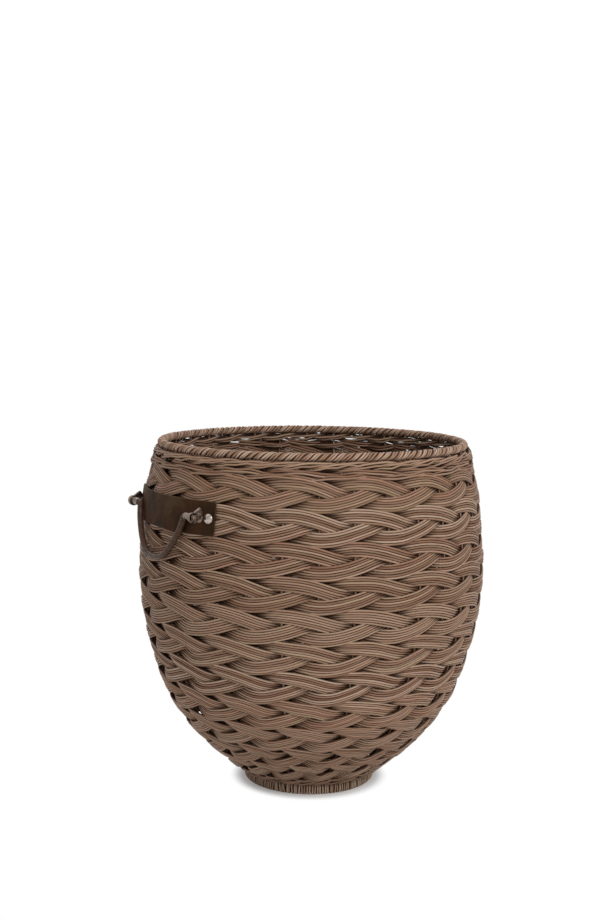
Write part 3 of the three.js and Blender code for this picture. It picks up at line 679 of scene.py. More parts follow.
# %% Stakes
BASE_HEIGHT = 16.3 * MM
CROSS_REACH = 12 * MM
SPOKE_REACH = 44 * MM
BEND_RADIUS = 80 * MM
SLATH_SPACING = 2.95 * MM
ARM_RODS = 8  # rods side by side in one arm of the cross
ARM_MIDDLE = (ARM_RODS - 1) / 2
STAKE_LOW = 8 * MM  # where along the wall a stake joins its curve
STAKE_OVER = 2 * MM  # how far a stake goes past the wall's top edge
STAKE_STEPS = 60
STAKE_POINTS = 120
STAKE_UPRIGHT = 82 * MM  # within this radius a stake's outer side faces down
# painted shade on the stakes, which lie behind the weave
STAKE_SHADE = 0.45


def stake_paths():
    """The points that the curve of each half rod goes through, from the middle of the cross through the fan
    and the bend to the top of the wall."""
    halves = []
    wall_arc = np.linspace(STAKE_LOW, WALL_LENGTH + STAKE_OVER, STAKE_STEPS)
    for n in range(STAKE_COUNT):
        angle = STAKE_PHASE + n * STAKE_STEP
        arm = n // ARM_RODS
        arm_angle = STAKE_PHASE + (arm * ARM_RODS + ARM_MIDDLE) * STAKE_STEP
        along = round_z(1, arm_angle, 0)
        across = np.array([-np.sin(arm_angle), np.cos(arm_angle), 0])
        lift = np.array([0, 0, (0.5 - arm % 2) * 2 * STAKE_RADIUS])
        place = (n % ARM_RODS - ARM_MIDDLE) * SLATH_SPACING
        spoke = round_z(1, angle, 0)
        base = np.array([0, 0, BASE_HEIGHT])
        flat = [base + lift + along * reach + across * place for reach in (0, 0.5 * CROSS_REACH, CROSS_REACH)]
        spoke_reaches = (SPOKE_REACH, (SPOKE_REACH + BEND_RADIUS) / 2, BEND_RADIUS)
        flat += [base + spoke * reach for reach in spoke_reaches]
        wall = on_wall(np.full(wall_arc.shape, angle), wall_arc, np.full(wall_arc.shape, STAKE_DEPTH))
        halves.append(np.vstack([flat, wall]))
    return np.array(halves)


dense = np.array([
    catmull_rom(np.vstack([half[:1], half, half[-1:]]), 0.5, STAKE_POINTS) for half in stake_paths()
])
rod_count = STAKE_COUNT // 2
# a known fault: a rod's two halves lie on different sides of the cross, so it steps sideways at the middle,
# by 3 mm for the inner rods of an arm and by 21 mm for the outer ones
stakes = np.concatenate([dense[:rod_count, ::-1], dense[rod_count:, 1:]], axis=1)
level = np.hypot(stakes[..., 0], stakes[..., 1])[..., None]
stake_out = np.where(level > STAKE_UPRIGHT, stakes * [1, 1, 0] / np.maximum(level, 1e-6), [0.0, 0.0, -1.0])
tones = rng.uniform(0, 1, rod_count)
piece = rods("stakes", stakes, stake_out, STAKE_RADIUS, ROD_SIDES, False, tones, STAKE_SHADE, stake_cane)
dress(piece, "basket", "stake_frame")

# %% [markdown]
# The base is woven on the same spokes: fine rods go round, over one spoke and under the next, and the row
# beside does the opposite. Near the middle the spokes are too close, so the first rows take them in pairs.
# The last rows lie on the foot's ring and climb with the spokes as these bend up.

# %% Base
BASE_ROD = 1.4 * MM
BASE_ROWS = 29
BASE_INNER = 25.5 * MM
BASE_PITCH = 2.5 * MM  # from row to row along the spokes
BASE_PAIRED = 9  # rows that take the spokes in pairs
BASE_WAVE = 2.2 * MM  # how far a row passes over and under the spokes
BASE_FLATTER = 0.55  # share by which it passes less over and under them where the foot's ring is below
BASE_LIFT = 1.3 * MM  # and how much higher it lies there
BASE_STEPS = 8  # points from one spoke to the next
BASE_WAVER = ((3, 30), 0.12 * MM)
# painted shade on the base's rods
BASE_SHADE = 0.35
FOOT_INNER = 72 * MM
base_turn = full_turn(STAKE_COUNT * BASE_STEPS)


def base_rings():
    """Ring at radius r and height of the spokes there + a cos(w (angle - phase)), where w is half the
    number of spokes or spoke pairs, and neighbours differ by half a wave."""
    row = np.arange(BASE_ROWS)[:, None]
    waves = np.where(row < BASE_PAIRED, STAKE_COUNT / 4, STAKE_COUNT / 2)
    middle = np.where(row < BASE_PAIRED, STAKE_PHASE + STAKE_STEP / 2, STAKE_PHASE)
    rise = BASE_WAVE * np.cos(waves * (base_turn - middle) + np.pi * row)
    spoke = dense[0, : STAKE_POINTS // 2]
    spoke_radius = np.hypot(spoke[:, 0], spoke[:, 1])
    spoke_height = np.where(spoke_radius < SPOKE_REACH, BASE_HEIGHT, spoke[:, 2])
    steps = np.hypot(np.diff(spoke_radius), np.diff(spoke_height))
    spoke_run = spoke_radius[0] + np.concatenate([[0], np.cumsum(steps)])
    run = BASE_INNER + row * BASE_PITCH + waver(BASE_ROWS, base_turn, *BASE_WAVER)
    radius = np.interp(run, spoke_run, spoke_radius)
    over_foot = np.clip((radius - FOOT_INNER) / BASE_PITCH, 0, 1)
    height = np.interp(run, spoke_run, spoke_height) + rise * (1 - BASE_FLATTER * over_foot)
    return round_z(radius, base_turn, height + BASE_LIFT * over_foot)


base_paths = base_rings()
up = np.broadcast_to([0.0, 0.0, 1.0], base_paths.shape)
tones = rng.uniform(0, 1, BASE_ROWS)
piece = rods("woven_base", base_paths, up, BASE_ROD, THIN_SIDES, True, tones, BASE_SHADE, rattan)
dress(piece, "basket", "base_mat")

# %% [markdown]
# The foot is a ring of stiff rods bound with strands, five between two stakes, each laid a little out of
# step so that the rods under them, dark from a low tone and painted shade, show in narrow gaps. Each wrap
# is a closed loop round the ring's section, which is a rectangle with generous corners: a superellipse,
# |x/a|^n + |y/b|^n = 1.

# %% Foot
FOOT_BAND = 12 * MM
WRAPS_PER_STAKE = 5
WRAP_RADIUS = 1.42 * MM
WRAP_SPACING = 3.3 * MM
WRAP_POINTS = 20
SQUARENESS = 3.2
WRAP_UNEVEN = 0.38 * MM  # about how far a wrap lies out of step
WRAP_LEAN = 0.35 * MM  # about how far its top leans one way and its bottom the other
WRAP_TONES = (0.6, 1.5)
WRAP_SHADE = 0.1  # painted shade at the wraps' lowest points, less higher up
CORE_ROD = 2.6 * MM
CORE_INWARD = (4.4 * MM, 7.8 * MM)  # from the foot's outer face
CORE_HEIGHTS = (4.5 * MM, 10 * MM)
CORE_STEPS = 128
CORE_TONE = 0.1


def foot_wraps():
    """Loop point at angle a: (sign(cos a) |cos a|^(2/n) * half width, the same of sin a * half height)."""
    middle_radius = FOOT_RADIUS - FOOT_BAND / 2
    half_width = FOOT_BAND / 2 - WRAP_RADIUS
    half_height = FOOT_HEIGHT / 2 - WRAP_RADIUS
    a = full_turn(WRAP_POINTS)
    power = 2 / SQUARENESS
    across = np.sign(np.cos(a)) * np.abs(np.cos(a)) ** power
    upward = np.sign(np.sin(a)) * np.abs(np.sin(a)) ** power
    stake = np.repeat(np.arange(STAKE_COUNT), WRAPS_PER_STAKE)
    wrap = np.tile(np.arange(WRAPS_PER_STAKE) - (WRAPS_PER_STAKE - 1) / 2, STAKE_COUNT)
    angle = STAKE_PHASE + (stake + 0.5) * STAKE_STEP + wrap * WRAP_SPACING / FOOT_RADIUS
    angle = angle[:, None] + rng.normal(0, WRAP_UNEVEN / FOOT_RADIUS, (len(wrap), 1))
    lean = rng.normal(0, WRAP_LEAN / FOOT_RADIUS, (len(wrap), 1)) * upward
    radius = middle_radius + half_width * across
    height = np.broadcast_to(FOOT_HEIGHT / 2 + half_height * upward, lean.shape)
    angle = angle + lean
    paths = round_z(radius, angle, height)
    return paths, paths - round_z(middle_radius, angle, np.full(angle.shape, FOOT_HEIGHT / 2))


wrap_paths, wrap_out = foot_wraps()
tones = rng.uniform(*WRAP_TONES, len(wrap_paths))
# painted shade, darkest at the bottom of each wrap
shade = np.clip(1 - wrap_paths[..., 2] / FOOT_HEIGHT, 0, 1) * WRAP_SHADE
wraps = rods("foot_wraps", wrap_paths, wrap_out, WRAP_RADIUS, THIN_SIDES, True, tones, shade, rattan)
round_foot = full_turn(CORE_STEPS)
core_paths = np.array([
    round_z(FOOT_RADIUS - inward, round_foot, np.full(CORE_STEPS, height))
    for inward in CORE_INWARD
    for height in CORE_HEIGHTS
])
core_out = core_paths * [1, 1, 0]
tones = [CORE_TONE] * len(core_paths)
# the cores get full painted shade on their outer side, under the wraps
foot_core = rods("foot_core", core_paths, core_out, CORE_ROD, ROD_SIDES, True, tones, 1.0, rattan)
for piece in (wraps, foot_core):
    dress(piece, "basket", "foot_border")

# %% [markdown]
# The handles' metal and leather are made from one kind of surface: a loop of points carried along a second
# parameter. For a turned piece, an outline of radius and height is carried round an axis; for the leather
# band, the band's rounded section is carried round the basket; for the bail, a circle follows the bent rod.
# Faces have to point outwards, so the volume inside them is added up, and they are turned if it is negative.

# %% Surfaces
def surface(name, grid, closed, material):
    """Mesh of points (along, round, 3): quads between neighbours, and a flat polygon at each open end."""
    length, sides = grid.shape[:2]
    quads, step_i, step_j = grid_faces(1, length, sides, closed)
    points = grid.reshape(-1, 3)
    a, b, c, d = (points[quads[0][:, i]] for i in range(4))
    volume = np.einsum("ij,ij->", a, np.cross(b, c) + np.cross(c, d))
    caps = np.zeros((0, 4), int)
    if not closed:
        caps = np.stack([np.arange(sides)[::-1], np.arange(sides) + (length - 1) * sides])
        for cap in caps:
            fan = points[cap]
            volume += np.einsum("ij,ij->", fan[:1].repeat(sides - 2, 0), np.cross(fan[1:-1], fan[2:]))
    ring_steps = np.linalg.norm(np.diff(grid, axis=0, append=grid[:1]), axis=-1).max(axis=1)
    along = np.concatenate([[0], np.cumsum(ring_steps)])
    uv = np.stack([along[step_i], step_j / sides], axis=-1)
    if volume < 0:
        quads, uv, caps = quads[:, :, ::-1], uv[:, ::-1], caps[:, ::-1]
    return finish_mesh(name, points, quads, uv.reshape(-1, 2), caps, {}, material)


def polygon(turn, corners, cut):
    """How far a regular polygon reaches past its inner circle: 1 / cos of the angle from the nearest side's
    middle, cut off at its corners."""
    wedge = 2 * np.pi / corners
    return np.minimum(1 / np.cos((turn + wedge / 2) % wedge - wedge / 2), cut)


def placed_points(local, placed):
    """Points given in a frame, turned and moved to where the frame is."""
    return local @ placed[:3, :3].T + placed[:3, 3]


def turned(outline, placed, sides=40, corners=0, cut=9.0):
    """Point at outline step i and angle a: placed * (r cos a, r sin a, h). Where an outline's third number
    is 1, the loop is a polygon."""
    outline = np.array(outline, float)
    turn = np.arange(sides) * 2 * np.pi / sides
    reach = np.ones((len(outline), sides))
    if corners:
        reach += outline[:, 2:3] * (polygon(turn, corners, cut)[None] - 1)
    radius = outline[:, :1] * reach * MM
    height = np.broadcast_to(outline[:, 1:2] * MM, radius.shape)
    return placed_points(round_z(radius, turn, height), placed)


def soft(points, radius, steps=4):
    """Rounds each corner of an outline with a quadratic curve, from a radius before it to a radius after."""
    points = np.array(points, float)
    rounded = [points[:1]]
    for before, corner, after in zip(points[:-2], points[1:-1], points[2:]):
        gap_in, gap_out = np.linalg.norm(before - corner), np.linalg.norm(after - corner)
        start = corner + (before - corner) * min(radius / gap_in, 0.5)
        end = corner + (after - corner) * min(radius / gap_out, 0.5)
        t = np.linspace(0, 1, steps)[:, None]
        rounded.append((1 - t) ** 2 * start + 2 * t * (1 - t) * corner + t**2 * end)
    return np.vstack(rounded + [points[-1:]])


def soft_loop(points, radius, steps=4):
    """The same for a closed outline."""
    points = np.array(points, float)
    return soft(np.vstack([points[-1:], points, points[:1]]), radius, steps)[1:-1]


def ring_section(inner, outer, low, high, radius):
    """The section of a flat ring: a rectangle with soft corners."""
    return soft_loop([(inner, low), (outer, low), (outer, high), (inner, high)], radius)


# %% [markdown]
# The leather is dark brown tanned strap. Its tone is clouded, greener here and redder there, its grain is a
# fine net of pores and wrinkles, and scuffs lighten it where it is rubbed. Its rounded edge carries a painted
# highlight, which is brighter where it is scuffed. The band's section runs round its UV map, so the distance
# from the edge is worked out from the second coordinate.

# %% Leather
LEATHER_TONES = [
    (0.0, srgb(26, 16, 6)),
    (0.3, srgb(42, 27, 13)),
    (0.55, srgb(53, 31, 16)),
    (1.0, srgb(66, 50, 30)),
]
# colour of rubbed scuffs, and of the painted highlight along the edge
LEATHER_RUB_AND_EDGE_HIGHLIGHT = srgb(86, 66, 54)
LEATHER_SPECULAR = 0.06
# how many cells of each pattern there are in a metre
CLOUD_CELLS = 24.0
WRINKLE_CELLS = (120.0, 120.0, 300.0)
PORE_CELLS = 800.0
SCUFF_CELLS = 150.0
SECTION_STEPS = 22  # points across each face of the strap


def leather_material():
    """Clouds and wrinkles pick the tone, scuffs and a painted edge highlight lighten it, pores roughen it."""
    tree = Tree("leather", specular_ior_level=LEATHER_SPECULAR)
    place = tree.node("ShaderNodeTexCoord", output=3)
    strip = tree.node("ShaderNodeUVMap", {"uv_map": "rod_uv"})
    round_strip = tree.node("ShaderNodeSeparateXYZ", None, {"Vector": strip}, output=1)
    clouds = tree.noise(place, CLOUD_CELLS, 4.0, 0.6)
    wrinkles = tree.noise(tree.stretch(place, WRINKLE_CELLS), 1.0, 3.0, 0.7)
    sockets = {"Vector": place, "Scale": PORE_CELLS}
    pores = tree.node("ShaderNodeTexVoronoi", {"feature": "DISTANCE_TO_EDGE"}, sockets)
    across = round_strip * (4 * SECTION_STEPS / (SECTION_STEPS - 1)) - 1
    # painted highlight along the strap's rounded edge and sides, stronger where scuffed
    edge = (across * across).smooth(0.62, 0.84)
    scuffs = tree.noise(place, SCUFF_CELLS, 5.0, 0.75)
    colour = tree.tint(clouds * 2.6 - 0.8 + wrinkles * 0.2, LEATHER_TONES)
    colour = tree.blend(scuffs.smooth(0.6, 0.78) * 0.35, colour, opaque(LEATHER_RUB_AND_EDGE_HIGHLIGHT))
    colour = tree.blend(edge * (0.35 + scuffs * 0.5), colour, opaque(LEATHER_RUB_AND_EDGE_HIGHLIGHT))
    tree.set(base_color=colour, roughness=0.45 + wrinkles * 0.25 + scuffs * 0.1)
    tree.bump(pores.smooth(0.0, 0.25) * 0.4 + wrinkles * 0.8 + clouds * 1.5, 0.14 * MM, 0.8)
    return tree.material


leather = leather_material()
print("material:", leather.name)

# %% [markdown]
# Three metals follow one recipe. A plated or browned metal is its base colour and roughness, varied by soft
# clouds of tarnish, fine scratches, which are a noise drawn out along one axis, and small dark pits.

# %% Metals
TARNISH_CELLS = 180.0  # in a metre
SCRATCH_CELLS = (2600.0, 2600.0, 160.0)
PIT_CELLS = 1400.0


def metal_material(name, bright, dull, roughness, metallic, wear, specular=0.5):
    """Bright metal that goes towards its dull colour where it is tarnished or pitted, as far as wear says."""
    tree = Tree(name, metallic=metallic, specular_ior_level=specular)
    place = tree.node("ShaderNodeTexCoord", output=3)
    clouds = tree.noise(place, TARNISH_CELLS, 4.0, 0.6)
    scratches = tree.noise(tree.stretch(place, SCRATCH_CELLS), 1.0, 2.0, 0.7)
    pits = tree.noise(place, PIT_CELLS, 1.0, 0.5)
    tarnish = clouds.smooth(0.38, 0.72)
    colour = tree.blend(tarnish * wear, opaque(bright), opaque(dull))
    colour = tree.blend(pits.smooth(0.62, 0.74) * wear, colour, opaque(dull))
    tree.set(base_color=colour, roughness=roughness + tarnish * 0.18 + scratches.smooth(0.4, 0.8) * 0.1)
    tree.bump(scratches * 0.35 + pits * 0.4 + clouds * 0.6, 0.05 * MM, 0.6)
    return tree.material


nickel = metal_material("nickel", srgb(196, 184, 175), srgb(112, 98, 90), 0.22, 1.0, 0.9)
pewter = metal_material("pewter", srgb(130, 112, 101), srgb(52, 40, 33), 0.27, 1.0, 0.95)
bronze = metal_material("bronze", srgb(74, 54, 41), srgb(44, 30, 20), 0.26, 0.05, 0.7, 0.12)
print("materials:", nickel.name, pewter.name, bronze.name)

# %% [markdown]
# Each handle is worked out once, with +X out of the basket, and then turned to its place. Every fitting
# stands on the wall in a frame of its own: X round the basket, Y up the wall and Z out of it. The middles
# of the two eyes give the hinge axis, which runs along Y.

# %% Handle places
HANDLE_TURNS = {"left": np.pi, "right": STAKE_STEP}  # the right one is a stake off the place opposite
HANDLE_DROP = 73 * MM
BAND_ARC = WALL_LENGTH - HANDLE_DROP
BAND_HALF_ANGLE = np.radians(27.2)
RIVET_ANGLE = np.radians(24.95)
POST_ANGLE = np.radians(21.2)
BAND_WIDTH = 41.0  # from here on, the handles' sizes are in millimetres
BAND_THICKNESS = 2.0
FIT_GAP = 0.3
WALL_THICKNESS = 10.8
EYE_STANDOFF = 13.3
EYE_RADIUS = 6.6
EYE_HALF = 2.6
EYE_BORE = 3.6
SEAT = 2 * FIT_GAP + BAND_THICKNESS


def wall_frame(arc, angle):
    """Columns: round the basket, up the wall, out of the wall, and the place on the wall's face."""
    outward = wall_outward(angle, arc)
    around = np.array([-np.sin(angle), np.cos(angle), 0])
    placed = np.eye(4)
    placed[:3, 0], placed[:3, 1], placed[:3, 2] = around, np.cross(outward, around), outward
    placed[:3, 3] = on_wall(angle, arc, 0)
    return placed


def axis_frame(origin, way):
    """A frame whose Z runs along the hinge axis, towards +Y or -Y, and whose X points out."""
    placed = np.eye(4)
    placed[:3, 2] = [0, way, 0]
    placed[:3, 1] = np.cross(placed[:3, 2], placed[:3, 0])
    placed[:3, 3] = origin
    return placed


def turn_z(angle):
    """A turn round the Z axis."""
    placed = np.eye(4)
    placed[:2, :2] = [[np.cos(angle), -np.sin(angle)], [np.sin(angle), np.cos(angle)]]
    return placed


def put(piece, body, node):
    """Dresses a fitting, and prints how far its box differs from that of the node it stands for."""
    dress(piece, body, node)
    low, high = (np.array(corner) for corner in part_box(node))
    corners = np.array(piece.bound_box)
    gaps = np.abs([corners.min(0) - low, corners.max(0) - high]).max() / MM
    print("%s: %d faces, at most %.1f mm off its node's box" % (piece.name, len(piece.data.polygons), gaps))


post_frame = wall_frame(BAND_ARC, POST_ANGLE)
eye_centre = post_frame[:3, 3] + post_frame[:3, 2] * EYE_STANDOFF * MM
hinge = np.array([eye_centre[0], 0, eye_centre[2]])
eye_reach = eye_centre[1] / MM
print("hinge at", np.round(hinge / MM, 2), "eyes at", round(eye_reach, 2), "mm along it")

# %% [markdown]
# The band is a strap of the wall's own curve. Its section is a rectangle with soft corners, 41 by 2 mm. It
# lies on the braids, so it rises and falls with them by a fraction of a millimetre.

# %% Leather bands
BAND_STEPS = 90
BAND_CORNER = 2.5
SECTION_CORNER = 0.8
BAND_SWELL = 0.18
SWELL_ALONG = 0.29  # radians in a millimetre
SWELL_UP = 0.16
BAND_CROWD = 0.55  # share by which the steps crowd towards the strap's ends
EDGE_THICKNESS = 0.3  # share of the thickness that is left at the very edge


def band_grid(turn):
    """At distance s along the strap and u up it, the depth is the strap's middle, less half its thickness
    on the outer face, and the thickness falls like a circle in the last bit before each edge."""
    half_length = BAND_HALF_ANGLE * along_wall(np.array(BAND_ARC))[0] / MM
    run = np.linspace(-1, 1, BAND_STEPS)
    place = (BAND_CROWD * np.sin(run * np.pi / 2) + (1 - BAND_CROWD) * run) * half_length
    into = np.clip(np.abs(place) - (half_length - BAND_CORNER), 0, BAND_CORNER)
    half_width = BAND_WIDTH / 2 - BAND_CORNER + np.sqrt(BAND_CORNER**2 - into**2)
    across = np.sin(np.linspace(-np.pi / 2, np.pi / 2, SECTION_STEPS))
    face = np.stack([across, np.ones(SECTION_STEPS)], axis=-1)
    section = np.vstack([face, -face])
    up = section[:, 0] * half_width[:, None]
    side_in = np.clip(np.abs(up) - (half_width[:, None] - SECTION_CORNER), 0, SECTION_CORNER)
    end_in = np.clip(np.abs(place) - (half_length - SECTION_CORNER), 0, SECTION_CORNER)[:, None]
    fall = np.sqrt(1 - (side_in / SECTION_CORNER) ** 2) * np.sqrt(1 - (end_in / SECTION_CORNER) ** 2)
    swell = BAND_SWELL * np.sin(place * SWELL_ALONG)[:, None] * np.cos(up * SWELL_UP)
    half_thickness = BAND_THICKNESS / 2
    thick = half_thickness * (EDGE_THICKNESS + (1 - EDGE_THICKNESS) * fall)
    depth = -(FIT_GAP + half_thickness) - section[:, 1] * thick - swell
    angle = turn + place[:, None] / half_length * BAND_HALF_ANGLE + 0 * up
    return on_wall(angle, BAND_ARC + up * MM, depth * MM)


for side, turn in HANDLE_TURNS.items():
    put(surface(side + "_strap", band_grid(turn), False, leather), "basket", side + "_band")

# %% [markdown]
# Rivets and posts are turned pieces, so each is one outline of radius and height above the wall. A rivet
# has a domed head on the leather, a shank through the weave, and a peened tail over a burr inside. A post
# has a flange on the leather, a waisted neck and a threaded shank with washer and nut: the thread is a small
# wave in the outline. Its eye is a thick ring, bevelled round the bore so that the pin's end sits back in
# it, and a thin gusset stiffens it from above.

# %% Rivets and posts
TINY = 0.02  # radius of the little flat that closes a turned piece at its axis
HEAD_RADIUS = 6.3
HEAD_HEIGHT = 3.6
BURR_THICKNESS = 1.4
BURR_BACK = -(WALL_THICKNESS + BURR_THICKNESS + FIT_GAP)
WASHER_BACK = -(WALL_THICKNESS + 1.2)
NUT_HIGH = WASHER_BACK - FIT_GAP
NUT_LOW = NUT_HIGH - 4
NUT_FLAT = 4.68  # from the nut's middle to a flat
NUT_SIDES = 48
HEX_CUT = 1.13  # how far the nut's corners reach, as a multiple of its flats
SHANK_LOW = NUT_LOW - 1.5
THREAD_PITCH = 0.8
THREAD_RADIUS = 2.58
THREAD_WAVE = 0.12
dome = np.linspace(0, np.pi / 2, 12)[:-1]
rivet_outline = np.vstack([
    soft([(TINY, BURR_BACK - 1.2), (3.0, BURR_BACK - 1.2), (3.6, BURR_BACK - 0.5), (3.5, BURR_BACK),
          (2.3, BURR_BACK), (2.3, SEAT), (HEAD_RADIUS - 0.4, SEAT), (HEAD_RADIUS, SEAT + 0.25)], 0.3),
    np.stack([HEAD_RADIUS * np.cos(dome), SEAT + 0.3 + (HEAD_HEIGHT - 0.3) * np.sin(dome)], axis=-1),
    [(TINY, SEAT + HEAD_HEIGHT)],
])
burr_outline = ring_section(2.6, 5.8, -(WALL_THICKNESS + BURR_THICKNESS), -WALL_THICKNESS, 0.3)
thread = np.arange(SHANK_LOW + 0.5, NUT_HIGH, THREAD_PITCH / 4)
post_outline = np.vstack([
    [(TINY, SHANK_LOW), (2.1, SHANK_LOW)],
    np.stack([THREAD_RADIUS + THREAD_WAVE * np.cos(thread * 2 * np.pi / THREAD_PITCH), thread], axis=-1),
    soft([(2.6, NUT_HIGH + 0.2), (2.6, SEAT), (6.0, SEAT), (6.0, SEAT + 0.7), (5.0, SEAT + 1.3),
          (3.4, SEAT + 2.4), (2.9, SEAT + 4), (3.3, EYE_STANDOFF - EYE_RADIUS + 1), (TINY, 9.0)], 0.5),
])
eye_outline = soft_loop([(EYE_BORE, -EYE_HALF), (EYE_RADIUS, -EYE_HALF), (EYE_RADIUS, EYE_HALF),
                         (EYE_RADIUS - 1.2, EYE_HALF), (EYE_BORE + 0.1, EYE_HALF - 1.9)], 0.5, 5)
washer_outline = ring_section(3.0, 7.0, WASHER_BACK, -WALL_THICKNESS, 0.35)
nut_outline = [
    (3.0, NUT_LOW + 0.3, 0), (3.3, NUT_LOW, 0), (4.5, NUT_LOW, 0), (NUT_FLAT, NUT_LOW + 0.5, 1),
    (NUT_FLAT, NUT_HIGH - 0.5, 1), (4.5, NUT_HIGH, 0), (3.3, NUT_HIGH, 0), (3.0, NUT_HIGH - 0.3, 0),
]


def gusset(placed):
    """A thin web in the eye's plane: its outline goes from the eye's top to the leather above the flange,
    and is carried through its thickness with a soft edge."""
    outline = [(1.0, 5.9), (-1.5, 6.9), (-8.4, 11.8), (-9.8, 11.4), (-13.3, 6.0), (-11.9, 0.5), (-3.0, 0.5)]
    outline = soft_loop(outline, 0.9, 5)
    middle = outline.mean(0)
    levels = np.array([(0.82, -1.5), (0.94, -1.4), (1.0, -1.0), (1.0, 1.0), (0.94, 1.4), (0.82, 1.5)])
    flat = middle + (outline - middle) * levels[:, :1, None]
    height = np.broadcast_to(levels[:, 1:2, None], flat.shape[:2] + (1,))
    local = np.concatenate([flat[..., :1], flat[..., 1:] * placed[2, 1], height], axis=-1)
    return placed_points(local * MM, placed)


for side, turn in HANDLE_TURNS.items():
    for end, way in (("a", 1), ("b", -1)):
        name = "%s_%%s_%s" % (side, end)
        rivet_place = wall_frame(BAND_ARC, turn + way * RIVET_ANGLE)
        post_place = wall_frame(BAND_ARC, turn + way * POST_ANGLE)
        eye_place = turn_z(turn) @ axis_frame([eye_centre[0], way * eye_centre[1], eye_centre[2]], way)
        nut_grid = turned(nut_outline, post_place, NUT_SIDES, corners=6, cut=HEX_CUT)
        made = {
            "rivet": [surface(name % "dome_rivet", turned(rivet_outline, rivet_place), False, nickel)],
            "rivet_burr": [surface(name % "burr", turned(burr_outline, rivet_place), True, nickel)],
            "eye_post": [
                surface(name % "post", turned(post_outline, post_place), False, pewter),
                surface(name % "eye", turned(eye_outline, eye_place), True, pewter),
                surface(name % "gusset", gusset(eye_place), False, pewter),
            ],
            "post_washer": [surface(name % "washer", turned(washer_outline, post_place), True, pewter)],
            "post_nut": [surface(name % "hex_nut", nut_grid, True, pewter)],
        }
        for kind, pieces in made.items():
            for piece in pieces:
                put(piece, "basket", name % kind)

# %% [markdown]
# The bail is one bent rod. Its middle line goes down from one ferrule, round the bottom and up to the other,
# in a plane that leans out just enough to clear the round wall. The ferrules are sleeves, each in one piece
# with the pin that turns in the eye, and a small square nut keeps each pin in place.

# %% Bails
BAIL_RADIUS = 3.8
BAIL_DROP = 59.5
BAIL_REST_GAP = 0.6
BAIL_STRAIGHT = 1.2
BAIL_LEG_INSET = 5.5
BAIL_HALF_WIDTH_SHARES = np.array([0.99, 0.93, 0.8, 0.62, 0.38, 0])
BAIL_DROP_SHARES = np.array([0.12, 0.28, 0.5, 0.73, 0.92, 1])
BAIL_POINTS = 120
BAIL_SIDES = 24
FERRULE_RADIUS = 4.7
FERRULE_LENGTH = 15
FERRULE_SOCKET = 8
PIN_RADIUS = 3
BAIL_NUT_WIDTH = 8
BAIL_NUT_THICKNESS = 2.4
SQUARE_CUT = 1.28
ferrule_face = eye_reach - EYE_HALF - FIT_GAP
ferrule_mouth = ferrule_face - FERRULE_LENGTH
leg_top = ferrule_mouth - BAIL_LEG_INSET
nut_face = eye_reach + EYE_HALF + FIT_GAP
nut_back = nut_face + BAIL_NUT_THICKNESS
pin_end = nut_back + 0.4


def bail_lean():
    """The largest of the angles at which the rod, at each of its places, just clears the round wall."""
    drop = BAIL_DROP * BAIL_DROP_SHARES
    wall_radius = np.interp(hinge[2] - drop * MM, WALL_CURVE[:, 1], WALL_CURVE[:, 0]) / MM
    clear = wall_radius + BAIL_RADIUS + BAIL_REST_GAP
    reach = np.sqrt(clear**2 - (leg_top * BAIL_HALF_WIDTH_SHARES) ** 2)
    return np.arcsin((reach - hinge[0] / MM) / drop).max()


def bail_path():
    """Curve through the places of one leg and their mirror images, in the leaning plane."""
    shoulder = (BAIL_LEG_INSET - BAIL_STRAIGHT) * (1 - np.sqrt(0.5))
    mouth = [ferrule_mouth + FERRULE_SOCKET - FIT_GAP, ferrule_mouth, ferrule_mouth - BAIL_STRAIGHT]
    across = np.concatenate([mouth, [leg_top + shoulder], leg_top * BAIL_HALF_WIDTH_SHARES])
    drop = np.concatenate([[0, 0, 0, shoulder], BAIL_DROP * BAIL_DROP_SHARES])
    across = np.concatenate([across, -across[-2::-1]])
    drop = np.concatenate([drop, drop[-2::-1]])
    lean = bail_lean()
    points = np.stack([drop * np.sin(lean), across, -drop * np.cos(lean)], axis=-1)
    ends = [2 * points[:1] - points[1:2], 2 * points[-1:] - points[-2:-1]]
    return hinge + catmull_rom(np.vstack([ends[0], points, ends[1]]), 0.5, BAIL_POINTS) * MM


socket = BAIL_RADIUS + 0.25
ferrule_outline = soft([
    (TINY, ferrule_mouth + FERRULE_SOCKET), (socket, ferrule_mouth + FERRULE_SOCKET), (socket, ferrule_mouth),
    (FERRULE_RADIUS, ferrule_mouth), (FERRULE_RADIUS, ferrule_face),
    (PIN_RADIUS, ferrule_face), (PIN_RADIUS, pin_end - 0.3), (2.5, pin_end), (TINY, pin_end),
], 0.6)
flat = BAIL_NUT_WIDTH / 2
square_outline = [
    (3.3, nut_face + 0.3, 0), (3.5, nut_face, 0), (3.8, nut_face, 0.6), (flat, nut_face + 0.4, 1),
    (flat, nut_back - 0.6, 1), (3.7, nut_back, 0.5), (3.4, nut_back, 0), (3.3, nut_back - 0.3, 0),
]

for side, turn in HANDLE_TURNS.items():
    placed = turn_z(turn)
    path = bail_path() @ placed[:3, :3].T
    out = np.broadcast_to(placed[:3, 0], path.shape)
    bar = rod_grid(path[None], out[None], BAIL_RADIUS * MM, BAIL_SIDES, False)[0]
    rod = surface(side + "_bail_bar", bar, False, bronze)
    put(rod, side + "_bail", side + "_bail_rod")
    for end, way in (("a", 1), ("b", -1)):
        name = "%s_%%s_%s" % (side, end)
        pin_place = placed @ axis_frame(hinge, way)
        sleeve = surface(name % "sleeve", turned(ferrule_outline, pin_place), False, pewter)
        put(sleeve, side + "_bail", name % "ferrule")
        nut_grid = turned(square_outline, pin_place, NUT_SIDES, corners=4, cut=SQUARE_CUT)
        put(surface(name % "square_nut", nut_grid, True, pewter), side + "_bail", name % "bail_nut")

